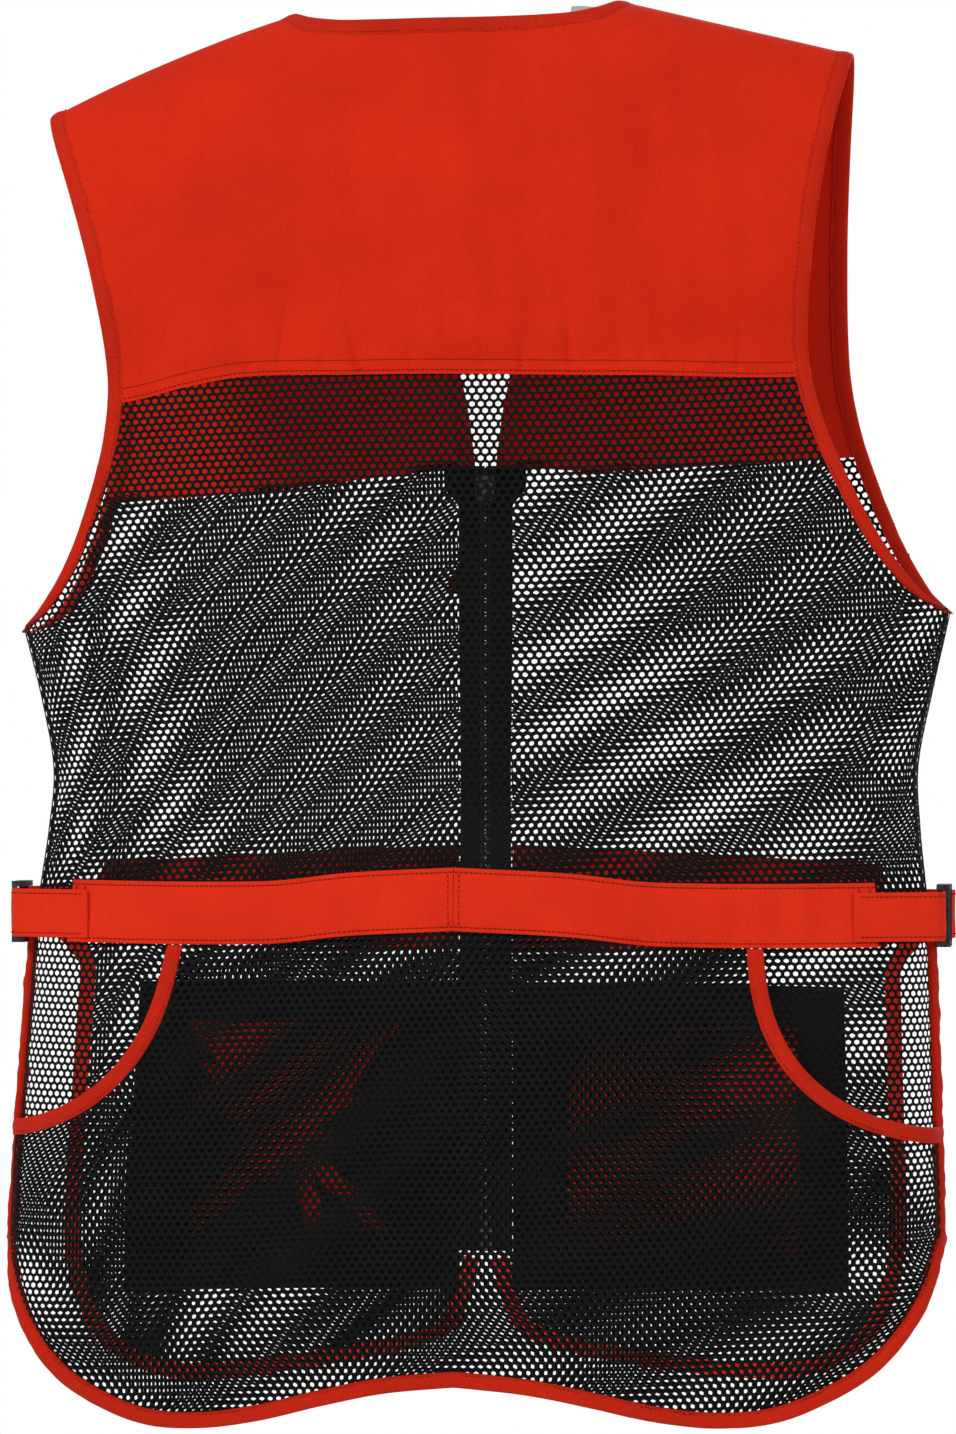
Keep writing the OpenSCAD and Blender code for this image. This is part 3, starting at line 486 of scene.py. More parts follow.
def add_shell(parts, inner, outer, uv):
    """Closed sheet between two grids of points, rows x columns x 3 each."""
    rows, columns = inner.shape[:2]
    n = rows * columns
    quads = grid_quads(rows, columns)
    r, c = rows // 2, columns // 2
    facing = np.cross(outer[r, c + 1] - outer[r, c], outer[r + 1, c] - outer[r, c])
    flip = np.dot(facing, outer[r, c] - inner[r, c]) > 0
    top = np.arange(columns - 1)
    side = np.arange(rows - 1) * columns
    last = (rows - 1) * columns
    end = side + columns - 1
    rims = [np.stack([top, top + 1, top + 1 + n, top + n], -1),
            np.stack([last + top + n, last + top + 1 + n, last + top + 1, last + top], -1),
            np.stack([side + n, side + columns + n, side + columns, side], -1),
            np.stack([end, end + columns, end + columns + n, end + n], -1)]
    if flip:
        faces = np.concatenate([quads, quads[:, ::-1] + n] + [r[:, ::-1] for r in rims])
    else:
        faces = np.concatenate([quads[:, ::-1], quads + n] + rims)
    points = np.concatenate([inner.reshape(-1, 3), outer.reshape(-1, 3)])
    parts.add(points, faces[:, ::-1], np.concatenate([uv, uv]))


def add_tube(parts, points, uv):
    """Tube through rings of points, rows x around x 3, with flat ends."""
    rows, around = points.shape[:2]
    parts.add(points, grid_quads(rows, around, wrap=True), uv)
    for row, order in ((0, 1), (rows - 1, -1)):
        ring = np.arange(around) + row * around
        back = ring[::-1]
        caps = [[ring[i], ring[i + 1], back[i + 1], back[i]] for i in range(around // 2 - 1)]
        parts.add(points, np.array(caps)[:, ::order], uv)


def level_at(middle, girth, drop):
    """Distance off the surface: a number, or a rule that gives it for each place."""
    return middle(girth, drop) if callable(middle) else middle


def add_band(parts, edge, inner, face, middle, thickness, around=20, pinches=(0.8,), seed=1):
    """Folded strip of cloth between an edge path and an inner path, both lists of (girth, drop).

    It is a flattened tube, drawn in along the lines of stitching at the fractions pinches of its width."""
    edge, inner = np.asarray(edge, float), np.asarray(inner, float)
    face = np.broadcast_to(np.asarray(face, float), (len(edge),))
    phase = np.linspace(0, 2 * math.pi, around, endpoint=False)
    across = 0.5 - 0.5 * squarish(np.cos(phase), 0.7)
    lift = squarish(np.sin(phase), 0.6)
    for pinch in pinches:
        lift = lift * (1 - 0.5 * np.exp(-((across - pinch) / 0.08) ** 2))
    run = run_along(edge)
    pucker = 1 + 0.1 * waves(run, 0 * run, 7, seed) + 0.08 * waves(run, 0 * run, 31, seed + 1)
    weave = 0.35 * waves(run, 0 * run, 26, seed + 2)
    girth = mix(edge[:, None, 0], inner[:, None, 0], across[None])
    drop = mix(edge[:, None, 1], inner[:, None, 1], across[None])
    off = level_at(middle, girth, drop) + 0.4 * weave[:, None] + lift[None] * thickness / 2 * pucker[:, None]
    points = skin(girth, drop, face[:, None], off)
    width = np.linalg.norm(edge - inner, axis=1)
    add_tube(parts, points, cloth_uv(run[:, None], across[None] * width[:, None]))


def add_stitches(parts, points, outward, pitch=2.7, length=2.3, radius=0.31):
    """A row of stitches along a path of points: small arched threads that dip into the cloth at the ends."""
    points, outward = np.asarray(points, float), np.asarray(outward, float)
    run = run_along(points)
    count = int(run[-1] / pitch)
    if count < 1:
        return
    centre = (np.arange(count) + 0.5) * run[-1] / count
    steps = np.array([-0.5, -0.36, -0.12, 0.12, 0.36, 0.5]) * length
    at = np.clip(centre[:, None] + steps[None], 0, run[-1])
    spine = np.stack([np.interp(at, run, points[:, k]) for k in range(3)], -1)
    up = np.stack([np.interp(at, run, outward[:, k]) for k in range(3)], -1)
    up /= np.linalg.norm(up, axis=-1, keepdims=True)
    along = spine[:, -1:] - spine[:, :1]
    along = along / np.maximum(np.linalg.norm(along, axis=-1, keepdims=True), 1e-9)
    across = np.cross(along, up)
    lift = np.array([-0.35, 0.02, 0.14, 0.14, 0.02, -0.35])
    thick = np.array([0.4, 0.95, 1, 1, 0.95, 0.4]) * radius
    spine = spine + up * lift[None, :, None]
    sides = 6
    turn_angle = np.linspace(0, 2 * math.pi, sides, endpoint=False)
    ring = (np.cos(turn_angle)[None, None, :, None] * across[:, :, None]
            + np.sin(turn_angle)[None, None, :, None] * up[:, :, None]) * thick[None, :, None, None]
    verts = spine[:, :, None] + ring
    quads = grid_quads(len(steps), sides, wrap=True)
    caps = np.array([[0, 1, 2, 3], [0, 3, 4, 5]])
    last = (len(steps) - 1) * sides
    one = np.concatenate([quads, caps, caps[:, ::-1] + last])
    per = len(steps) * sides
    faces = (one[None] + (np.arange(count) * per)[:, None, None]).reshape(-1, 4)
    parts.add(verts, faces, cloth_uv(at[:, :, None], turn_angle[None, None] * radius), THREAD_SLOT)


def stitch_on(parts, girth, drop, face, off, **settings):
    """A row of stitches along a path of places on the garment."""
    girth, drop = np.asarray(girth, float), np.asarray(drop, float)
    on, above = skin(girth, drop, face, off), skin(girth, drop, face, off + 1)
    sign = 1 if np.all(np.asarray(off) >= 0) else -1
    add_stitches(parts, on, (above - on) * sign, **settings)


def sew_along(parts, edge, inner, fractions, face, off):
    """Rows of stitches at fractions of the way from an edge path to an inner path."""
    for fraction in fractions:
        girth, drop = mix(edge, inner, fraction).T
        stitch_on(parts, girth, drop, face, level_at(off, girth, drop))


def sew_through(parts, edge, inner, fraction, face, middle, lift):
    """A row of stitches on each face of a band whose faces lie about lift from its middle."""
    girth, drop = mix(edge, inner, fraction).T
    for sign in (1, -1):
        off = level_at(middle, girth, drop) + sign * lift
        on, above = skin(girth, drop, face, off), skin(girth, drop, face, off + sign)
        add_stitches(parts, on, above - on)


def inward(path, inside, width):
    """Inner side of a binding along a path of (girth, drop), on the side where the point inside lies."""
    path = np.asarray(path, float)
    tangent = np.gradient(path, axis=0)
    across = np.stack([-tangent[:, 1], tangent[:, 0]], -1)
    across /= np.linalg.norm(across, axis=1, keepdims=True)
    sense = np.sign(np.sum(across * (np.array(inside) - path), axis=1, keepdims=True))
    return path + sense * width * across


def even(path, step):
    """The same path with points an even step apart."""
    path = np.asarray(path, float)
    run = run_along(path)
    at = np.linspace(0, run[-1], max(int(run[-1] / step), 2) + 1)
    return np.stack([np.interp(at, run, path[:, k]) for k in range(path.shape[1])], -1)


def net(name, inside, place, stretch, box):
    """Hexagonal knitted mesh: inside(girth, drop) says which cells exist, and place() gives the points.

    stretch says how far the cloth is pulled aside, as a fraction of the way across the line of pull, and box
    gives the lowest and highest girth and drop."""
    low_g, high_g, low_d, high_d = box
    reach = math.hypot(high_g - low_g, high_d - low_d) / 2 + 20
    middle = np.array([(low_g + high_g) / 2, (low_d + high_d) / 2])
    columns, rows = int(reach / PITCH), int(reach / ROW)
    i, j = np.meshgrid(np.arange(-columns, columns + 1), np.arange(-rows, rows + 1))
    flat = np.stack([(i + 0.5 * (j % 2)) * PITCH, j * ROW], -1).reshape(-1, 2)
    rotate = np.eye(2) + np.outer(PULL_ACROSS, stretch)
    centre = flat @ rotate + middle
    kept = inside(centre[:, 0], centre[:, 1])
    flat = flat[kept]
    angle = np.radians(30 + 60 * np.arange(6))
    corner = np.stack([np.cos(angle) * PITCH / math.sqrt(3), np.sin(angle) * ROW / 1.5], -1)
    corners = (flat[:, None] + corner[None]).reshape(-1, 2)
    keys = np.round(corners * 50).astype(np.int64)
    _, first, index = np.unique(keys, axis=0, return_index=True, return_inverse=True)
    shared = corners[first] @ rotate + middle
    holes = (flat[:, None] + corner[None] * HOLE * 1.06).reshape(-1, 2) @ rotate + middle
    index = index.reshape(-1, 6) + len(holes)
    hole_index = np.arange(len(holes)).reshape(-1, 6)
    quads = np.stack([hole_index, index, np.roll(index, -1, 1), np.roll(hole_index, -1, 1)], -1)
    points = np.concatenate([place(holes[:, 0], holes[:, 1], -0.1), place(shared[:, 0], shared[:, 1], 0.3)])
    uv = np.concatenate([holes, shared]) * MM
    made = make(name, points, quads.reshape(-1, 4), uv, [NET], crease=180)
    return made


# ---------------------------------------------------------------- camera, light and floor
def camera_and_light():
    yaw = math.radians(8)
    distance, view_height = 3.3, 0.8032
    centre = (-0.0045, 0.0, -0.3953)
    camera = put("camera", bpy.data.cameras.new("camera"))
    away = (-distance * math.sin(yaw), distance * math.cos(yaw), 0)
    camera.location = [c + a for c, a in zip(centre, away)]
    camera.rotation_euler = (math.pi / 2, 0, math.pi + yaw)
    camera.data.sensor_fit = "VERTICAL"
    camera.data.sensor_height = 36
    camera.data.lens = camera.data.sensor_height * distance / view_height
    bpy.context.scene.camera = camera

    # a white studio seen behind the vest, that lights it more from above than from below
    world = bpy.data.worlds.new("studio")
    bpy.context.scene.world = world
    world.use_nodes = True
    tree = world.node_tree
    seen = tree.nodes.new("ShaderNodeLightPath").outputs["Is Camera Ray"]
    direction = tree.nodes.new("ShaderNodeSeparateXYZ")
    tree.links.new(tree.nodes.new("ShaderNodeTexCoord").outputs["Generated"], direction.inputs[0])
    height = tree.nodes.new("ShaderNodeMapRange")
    for key, value in (("From Min", -1.0), ("From Max", 1.0), ("To Min", 0.16), ("To Max", 0.46)):
        height.inputs[key].default_value = value
    tree.links.new(direction.outputs["Z"], height.inputs["Value"])
    strength = tree.nodes.new("ShaderNodeMath")
    strength.operation = "MAXIMUM"
    tree.links.new(seen, strength.inputs[0])
    tree.links.new(height.outputs[0], strength.inputs[1])
    background = tree.nodes["Background"]
    background.inputs["Color"].default_value = (1, 1, 1, 1)
    tree.links.new(strength.outputs[0], background.inputs["Strength"])
    bpy.context.scene.view_settings.view_transform = "Standard"

    lights = (("key", (1.5, 2.1, 1.2), 0.8, 34), ("fill", (-1.9, 1.9, 0.1), 1.6, 13),
              ("front", (-1.0, -2.5, 1.0), 1.2, 34))
    for name, place, size, power in lights:
        light = put(name, bpy.data.lights.new(name, "AREA"))
        light.data.size = size
        light.data.energy = power
        light.location = place
        aim = np.array([0, 0, -0.4]) - np.array(place)
        pitch = math.acos(-aim[2] / np.linalg.norm(aim))
        light.rotation_euler = (pitch, 0, math.atan2(aim[1], aim[0]) - math.pi / 2)

    # a weak lamp between the back and the fronts, for the light that comes in through the open mesh
    inside = put("inside", bpy.data.lights.new("inside", "AREA"))
    inside.data.shape = "RECTANGLE"
    inside.data.size, inside.data.size_y = 0.44, 0.3
    inside.data.energy = 0.3
    inside.location = (0, 0.005, -0.63)  # at the pockets' height
    inside.rotation_euler = (-math.pi / 2, 0, 0)
    inside.visible_camera = False

    floor_mesh = bpy.data.meshes.new("floor")
    half, level = 1.6, -1.16
    corners = ((-half, -half), (half, -half), (half, half), (-half, half))
    floor_mesh.from_pydata([(x, y, level) for x, y in corners], [], [(0, 1, 2, 3)])
    floor = put("floor", floor_mesh)
    n = Nodes("pale_floor")
    place = n.add("ShaderNodeTexCoord").outputs["Object"]
    n.set(base_color=n.mix(n.noise(place, 3.0), (0.86, 0.86, 0.86), (0.92, 0.92, 0.92)), roughness=0.9)
    floor_mesh.materials.append(n.material)


# ---------------------------------------------------------------- pieces
def stands_for(nodes):
    """Hides the CAD parts that a piece replaces."""
    if nodes:
        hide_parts(*nodes)


def rides(piece, body, slot, *nodes):
    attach(piece, body)
    stands_for(nodes)


def hangs_from_shoulder(piece, side, slot, *nodes):
    """Fabric of a front yoke: its placement is baked into its mesh, and the CAD parts that it replaces are
    hidden.
    """
    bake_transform(piece)
    stands_for(nodes)


def turns_at_seam(piece, side, slot, *nodes):
    """Fabric of a front panel: its placement is baked into its mesh, and the CAD parts that it replaces are
    hidden.
    """
    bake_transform(piece)
    stands_for(nodes)


def top_of_yoke(x):
    return np.where(np.abs(x) < neck_half, curve(back_neck_outline, np.abs(x)), shoulder_at(x))


def yoke_rows(count):
    """Fractions down a yoke, closest together over the shoulder."""
    v = np.linspace(0, 1, count)
    return v * (0.4 + 0.6 * v)


def gathers(girth, rise, seed):
    """Short narrow valleys that start at the lower seam, where its stitching draws the cloth together."""
    count = 34
    draw = np.random.default_rng(seed)
    total = np.zeros(np.broadcast(girth, rise).shape)
    for at in np.linspace(-side_girth, side_girth, count) + draw.uniform(-9, 9, count):
        length, width, depth = draw.uniform(9, 34), draw.uniform(1.7, 3.2), draw.uniform(0.9, 2.6)
        slant = draw.uniform(-0.25, 0.25)
        total -= depth * np.exp(-((girth - at - slant * rise) / width) ** 2 - (rise / length) ** 2)
    return total


def yoke_folds(girth, drop, low_edge, seed, face):
    """Soft folds, flat where the cloth is sewn, with short gathers just above the lower edge."""
    rise = low_edge - drop
    side_hold = smooth((edge_girth(drop, face) - 6 - np.abs(girth)) / 30)
    hold = smooth((rise - 5) / 16) * side_hold
    swell = 1.2 * waves(girth, drop * 0.1, 34, seed, 9) * np.exp(-np.clip(rise - 12, 0, 400) / 45.0)
    fall = smooth((drop - shoulder_at(x_of(girth, drop)) - 14) / 70)
    broad = 3.4 * waves(girth, drop * 0.4, 95, seed + 1) + 0.9 * waves(girth, drop * 0.5, 36, seed + 2)
    drawn = smooth((rise - 1) / 5) * side_hold * gathers(girth, rise, seed + 3)
    return hold * (swell + broad * fall) + drawn


def back_yoke():
    rows, columns = 90, 400
    a, v = np.meshgrid(np.linspace(-1, 1, columns), yoke_rows(rows))
    reach = girth_of(tip_half, tip_drop)
    low_edge = yoke_edge(a * edge_girth(yoke_drop, BACK)) + 2
    girth = a * edge_girth(mix(tip_drop, low_edge, v), BACK)
    drop = mix(top_of_yoke(x_of(a * reach, tip_drop)), low_edge, v)
    folds = yoke_folds(girth, drop, low_edge, 31, BACK)
    parts = Parts()
    add_slab(parts, girth, drop, BACK, cloth - 0.5 + folds, cloth + 0.5 + folds)
    g = np.linspace(-1, 1, 400) * (edge_girth(yoke_drop, BACK) - 8)
    for up in (2.2, 8.0):
        d = yoke_edge(g) + 2 - up
        stitch_on(parts, g, d, BACK, cloth + 0.55 + yoke_folds(g, d, d + up, 31, BACK))
    piece = parts.build("back_yoke_cloth", [POPLIN, THREAD_DARKENED_FOR_SHADE])
    rides(piece, "vest_back", "orange_poplin", "back_yoke")


def front_yoke(side):
    rows, columns = 120, 90
    a, v = np.meshgrid(np.linspace(0, 1, columns), yoke_rows(rows))
    neck_girth, reach = float(girth_of(neck_half, 0)), float(girth_of(tip_half, tip_drop))
    start = shoulder_at(x_of(mix(neck_girth, reach, a), tip_drop))
    end = curve(front_yoke_outline, side * mix(6, front_yoke_reach, a)) + 2
    neck_drop = mix(0, v_end, v)
    inner = mix(neck_girth, girth_of(curve(v_neck_outline, neck_drop), neck_drop), np.minimum(neck_drop, 1))
    outer = edge_girth(mix(tip_drop, front_yoke_end(side), v), FRONT)
    girth, drop = side * mix(inner, outer, a), mix(start, end, v)
    folds = yoke_folds(girth, drop, end, 57 + side, FRONT) * FRONT_FOLDS
    parts = Parts()
    add_slab(parts, girth, drop, FRONT, cloth - 0.5 + folds, cloth + 0.5 + folds)
    s = np.linspace(0.05, 0.97, 220)
    g = side * mix(inner[-1, 0], outer[-1, -1], s)
    edge = curve(front_yoke_outline, side * mix(6, front_yoke_reach, s)) + 2
    for up in (2.2, 8.0):
        off = cloth + 0.55 + yoke_folds(g, edge - up, edge, 57 + side, FRONT) * FRONT_FOLDS
        stitch_on(parts, g, edge - up, FRONT, off)
    name = SIDE_NAMES[side]
    piece = parts.build(f"front_yoke_{name}_cloth", [POPLIN, THREAD_DARKENED_FOR_SHADE])
    hangs_from_shoulder(piece, side, "orange_poplin", f"front_yoke_{name}")


def pad_girth(a, drop):
    """Girth at a fraction of the way across a shoulder pad."""
    low = girth_of(curve(v_neck_outline, drop), drop) + 24
    high = edge_girth(np.maximum(drop, tip_drop), FRONT) - 20
    return mix(low, high, a)


def filled_sheet(rest, out, sewn, rise):
    """How far a quilted pad's top sheet moves when its filling blows it up between the lines of stitching.

    rest and out are grids of points and unit normals, sewn says which points are held, and rise is the most
    that it may lift."""
    rows, columns = sewn.shape
    quads = grid_quads(rows, columns)
    facing = np.cross(rest[1, 2] - rest[1, 1], rest[2, 1] - rest[1, 1])
    if np.dot(facing, out[1, 1]) < 0:
        quads = quads[:, ::-1]
    mesh = bpy.data.meshes.new("quilting")
    mesh.from_pydata((rest.reshape(-1, 3) * MM).tolist(), [], quads.tolist())
    sheet = put("quilting", mesh)
    scene = bpy.context.scene
    sheet.vertex_groups.new(name="sewn").add(np.flatnonzero(sewn).tolist(), 1.0, "ADD")
    cloth_sim = sheet.modifiers.new("filling", "CLOTH")
    cloth_sim.settings.vertex_group_mass = "sewn"
    cloth_sim.settings.quality = 6
    cloth_sim.settings.mass = 0.2
    cloth_sim.settings.tension_stiffness = 12
    cloth_sim.settings.compression_stiffness = 6
    cloth_sim.settings.bending_stiffness = 0.05
    cloth_sim.settings.shrink_min = -0.12
    cloth_sim.settings.use_pressure = True
    cloth_sim.settings.uniform_pressure_force = 9
    cloth_sim.settings.effector_weights.gravity = 0
    cloth_sim.point_cache.frame_start = 1
    cloth_sim.point_cache.frame_end = SIM_FRAMES
    for number in range(1, SIM_FRAMES + 1):
        scene.frame_set(number)
    done = sheet.evaluated_get(bpy.context.evaluated_depsgraph_get())
    places = np.empty(rows * columns * 3, np.float32)
    done.data.vertices.foreach_get("co", places)
    bpy.data.objects.remove(sheet)
    bpy.data.meshes.remove(mesh)
    scene.frame_set(1)
    moved = places.reshape(rest.shape) / MM - rest
    lift = np.sum(moved * out, axis=-1, keepdims=True)
    along = moved - lift * out
    return np.clip(along, -2, 2) + np.clip(lift, 0, None) * rise / max(float(lift.max()), rise) * out


def shoulder_pad(side):
    rows, columns = 110, 81
    a, v = np.meshgrid(np.linspace(0, 1, columns), np.linspace(0, 1, rows))
    drop = mix(*PAD_DROPS, v)
    girth = side * pad_girth(a, drop)
    rim = np.clip(np.minimum(np.minimum(a, 1 - a) * 12, np.minimum(v, 1 - v) * 18), 0, 1)
    crumple = 1 + 0.08 * waves(girth, drop, 16, 71) + 0.05 * waves(girth, drop, 7, 72)
    backing = 1.2
    rise = pad_thickness - backing
    base = over_low + 0.2
    inner_points, rest = skin(girth, drop, FRONT, base), skin(girth, drop, FRONT, base + backing)
    out = (rest - inner_points) / backing
    column = np.arange(columns) % ((columns - 1) // PAD_CHANNELS)
    sewn = (rim < 0.1) | (column == 0)[None]
    moved = filled_sheet(rest, out, sewn, rise)
    parts = Parts()
    add_shell(parts, inner_points, rest + moved, cloth_uv(girth, drop))
    name = SIDE_NAMES[side]
    d = mix(*PAD_DROPS, np.linspace(0.03, 0.97, 160))
    for k in range(1, PAD_CHANNELS):
        stitch_on(parts, side * pad_girth(k / PAD_CHANNELS, d), d, FRONT, base + backing + 0.15)
    piece = parts.build(f"shoulder_pad_{name}_quilt", [POPLIN, THREAD_DARKENED_FOR_SHADE], crease=70)
    hangs_from_shoulder(piece, side, "quilted_pad", f"shoulder_pad_{name}")


def inset(outline, drop):
    """A binding's width measured level, where its edge slopes."""
    slope = (curve(outline, drop + 2) - curve(outline, drop - 2)) / 4
    return binding_width * np.sqrt(1 + np.minimum(slope * slope, 1.4))


def armhole_paths(side, drop, face):
    edge = edge_girth(drop, face)
    fall = drop - shoulder_at(x_of(edge, drop))
    inner = edge - inset(armhole(face), np.minimum(drop, underarm_drop - 6))
    return (pairs(side * edge, drop),
            pairs(side * inner, fall + shoulder_at(x_of(inner, drop))))


def binding(name, edge, inner, face, seed, middle=BAND_MIDDLE, thickness=BAND_THICK):
    """A binding with a row of stitches on its outer and on its inner face."""
    pinch = 0.8
    parts = Parts()
    add_band(parts, edge, inner, face, middle, thickness, pinches=(pinch,), seed=seed)
    # the darker thread of this row is partly painted shade along the binding's inner edge, where the
    # stitching draws it in
    sew_through(parts, edge, inner, pinch, face, middle, 0.26 * thickness)
    return parts.build(name, [BINDING, THREAD_DARKENED_FOR_SHADE])


def armhole_bindings(side):
    name = SIDE_NAMES[side]
    fine = 150
    drop = mix(tip_drop, underarm_drop, np.linspace(0, 1, fine) ** 1.7)
    edge, inner = armhole_paths(side, drop, BACK)
    back = binding(f"armhole_binding_{name}_back", edge, inner, BACK, 201 + side)
    rides(back, "vest_back", "orange_binding", f"armhole_binding_{name}")

    drop = mix(tip_drop, front_yoke_end(side) + 1, np.linspace(0, 1, fine) ** 1.7)
    edge, inner = armhole_paths(side, drop, FRONT)
    yoke = binding(f"armhole_binding_{name}_yoke", edge, inner, FRONT, 211 + side)
    hangs_from_shoulder(yoke, side, "orange_binding")

    drop = np.linspace(front_yoke_end(side), underarm_drop, 60)
    edge, inner = armhole_paths(side, drop, FRONT)
    edge[:, 0] = side * np.minimum(np.abs(edge[:, 0]), side_girth - 1.2)
    front = binding(f"armhole_binding_{name}_front", edge, inner, FRONT, 221 + side)
    turns_at_seam(front, side, "orange_binding", f"front_armhole_binding_{name}")


def neck_bindings():
    x = np.linspace(neck_half, -neck_half, 160)
    girth = girth_of(x, 0)
    turn_at = np.pi / 2 * (1 - smooth((np.abs(x) - 66) / (neck_half - 66)))
    fall = curve(back_neck_outline, np.abs(x)) - shoulder_at(x)
    inner = girth + np.sign(x) * binding_width * np.cos(turn_at)

    def place(g, f):
        return pairs(g, f + shoulder_at(x_of(g, tip_drop)))

    edge, inner = place(girth, fall), place(inner, fall + binding_width * np.sin(turn_at))
    piece = binding("neck_binding_back", edge, inner, BACK, 231)
    rides(piece, "vest_back", "orange_binding", "neck_binding")
    for side in (LEFT, RIGHT):
        drop = v_end * np.linspace(0, 1, 150) ** 1.6
        edge = girth_of(curve(v_neck_outline, drop), drop)
        fall = drop - shoulder_at(x_of(edge, drop))
        inner = edge + inset(v_neck_outline, np.maximum(drop, 2))
        inner = pairs(side * inner, fall + shoulder_at(x_of(inner, drop)))
        name = f"neck_binding_{SIDE_NAMES[side]}_front"
        piece = binding(name, pairs(side * edge, drop), inner, FRONT, 241 + side)
        hangs_from_shoulder(piece, side, "orange_binding")


def size_label():
    parts = Parts()
    g, d = np.meshgrid(np.linspace(girth_of(-84, 0), girth_of(-64, 0), 30), np.linspace(1, 22, 26))
    curl = 0.5 * waves(g, d, 18, 81)
    add_slab(parts, g, d, BACK, -1.2 + curl, -0.8 + curl)
    edge = np.linspace(girth_of(-82, 0), girth_of(-66, 0), 40)
    stitch_on(parts, edge, np.full_like(edge, 12.0), BACK, -1.3, pitch=2.0, length=1.5, radius=0.2)
    piece = parts.build("size_label_cloth", [LABEL, DARK_THREAD])
    rides(piece, "vest_back", "label", "size_label")


def hang_loop():
    """Narrow tape whose two ends are sewn under the neck binding."""
    radius, tape_half, tape_thick = 23.5, 3.4, 0.7
    y_of_ends, z_of_ends = 28, -14
    slope = math.radians(24.5)
    t = np.linspace(0, math.pi, 60)
    centre = np.stack([radius * np.cos(t), y_of_ends + radius * np.sin(t) * math.sin(slope),
                       z_of_ends - radius * np.sin(t) * math.cos(slope)], -1)
    along = np.gradient(centre, axis=0)
    along /= np.linalg.norm(along, axis=1, keepdims=True)
    out = np.array([0, math.cos(slope), math.sin(slope)])
    across = np.cross(along, out)
    phase = np.linspace(0, 2 * math.pi, 14, endpoint=False)
    ring = (np.cos(phase)[None, :, None] * across[:, None] * tape_half
            + squarish(np.sin(phase), 0.7)[None, :, None] * out * tape_thick)
    parts = Parts()
    add_tube(parts, centre[:, None] + ring, cloth_uv(t[:, None] * radius, phase[None] * 3))
    piece = parts.build("hang_loop_tape", [BINDING])
    rides(piece, "vest_back", "orange_binding", "hang_loop")


def meshes():
    def back_place(g, d, lift):
        return skin(g, d, BACK, 0.6 + lift + body_folds(g, d, BACK))

    def in_back(g, d):
        return (np.abs(g) < edge_girth(d, BACK) - 3) & (d < back_hem(x_of(g, d)) - 3)

    def upper(g, d):
        return in_back(g, d) & (d > yoke_edge(g) - 1) & (d < mesh_split)

    def lower(g, d):
        return in_back(g, d) & (d >= mesh_split)

    piece = net("back_mesh_upper", upper, back_place, (0, 0), (-290, 290, 190, 510))
    rides(piece, "vest_back", "black_mesh", "back_mesh")
    piece = net("back_mesh_lower", lower, back_place, (0, 0), (-290, 290, 500, 795))
    rides(piece, "vest_back", "black_mesh")

    def bag_place(g, d, lift):
        return skin(g, d, BACK, bag_stand_off(g, d) + 0.6 + lift + body_folds(g, d, BACK))

    def in_bag(g, d):
        return (np.abs(g) < side_girth - 3) & (d < back_hem(x_of(g, d)) - 3) & (d > mouth_drop(g) + 3)

    piece = net("game_bag_net", in_bag, bag_place, (-0.03, 0.04), (-290, 290, 500, 795))
    rides(piece, "vest_back", "black_mesh", "game_bag_mesh")

    for side in (LEFT, RIGHT):
        def front_place(g, d, lift):
            return skin(g, d, FRONT, 0.6 + lift + body_folds(g, d, FRONT))

        def in_front(g, d):
            s = side * g
            sewn = (d > underarm_drop) & (d < belt_drop + 10)
            rim = np.where(sewn, side_girth + 1, front_edge_girth(d) - 2)
            start = curve(front_yoke_outline, g) - 1
            return (s > 14) & (s < rim) & (d > start) & (d < front_hem(x_of(s, hem_level)) - 3)

        name = SIDE_NAMES[side]
        low, high = sorted((side * 5, side * 290))
        stretch = (0.085, 0.08 + 0.015 * side)
        piece = net(f"front_mesh_{name}_net", in_front, front_place, stretch, (low, high, 245, 780))
        turns_at_seam(piece, side, "black_mesh", f"front_mesh_{name}")


def side_seam_tape(side):
    d = np.linspace(underarm_drop - 2, belt_drop + 20, 90)
    parts = Parts()
    edge = pairs(side * side_girth, d)
    inner = pairs(side * (side_girth - 8), d)
    rows = (0.25, 0.75)
    add_band(parts, edge, inner, BACK, -0.6, 1.2, pinches=rows, seed=301)
    sew_along(parts, edge, inner, rows, BACK, -1.05)
    name = SIDE_NAMES[side]
    piece = parts.build(f"side_seam_{name}", [LINING, DARK_THREAD])
    rides(piece, "vest_back", "black_cloth", f"side_seam_tape_{name}")


def on_bag(girth, drop):
    return bag_stand_off(girth, drop) + body_folds(girth, drop, BACK) + BAND_MIDDLE


def game_bag_bindings():
    for side in (LEFT, RIGHT):
        g, d = mouth_path(240)
        path = even(pairs(side * g, d)[::-1], 2.0)
        inner = inward(path, (0, 680), binding_width)
        name = SIDE_NAMES[side]
        piece = binding(f"bag_binding_{name}_cloth", path, inner, BACK, 251 + side, middle=on_bag)
        rides(piece, "vest_back", "orange_binding", f"bag_binding_{name}")


def back_hem_binding():
    f = np.sin(np.linspace(0, math.pi / 2, 200))
    bottom = pairs(f * side_girth, back_hem(x_of(f * side_girth, hem_drop)))
    start = belt_drop + belt_width - 4
    up = np.linspace(start, hem_drop - 98, 40)
    left = np.concatenate([pairs(side_girth, up), bottom[::-1]])
    path = even(np.concatenate([left, (left * [-1, 1])[::-1][1:]]), 2.5)
    inner = inward(path, (0, 560), binding_width)
    middle, thickness = over_low - 0.2, BAND_THICK + 2.2
    piece = binding("back_hem_binding_cloth", path, inner, BACK, 261, middle, thickness)
    rides(piece, "vest_back", "orange_binding", "back_hem_binding")


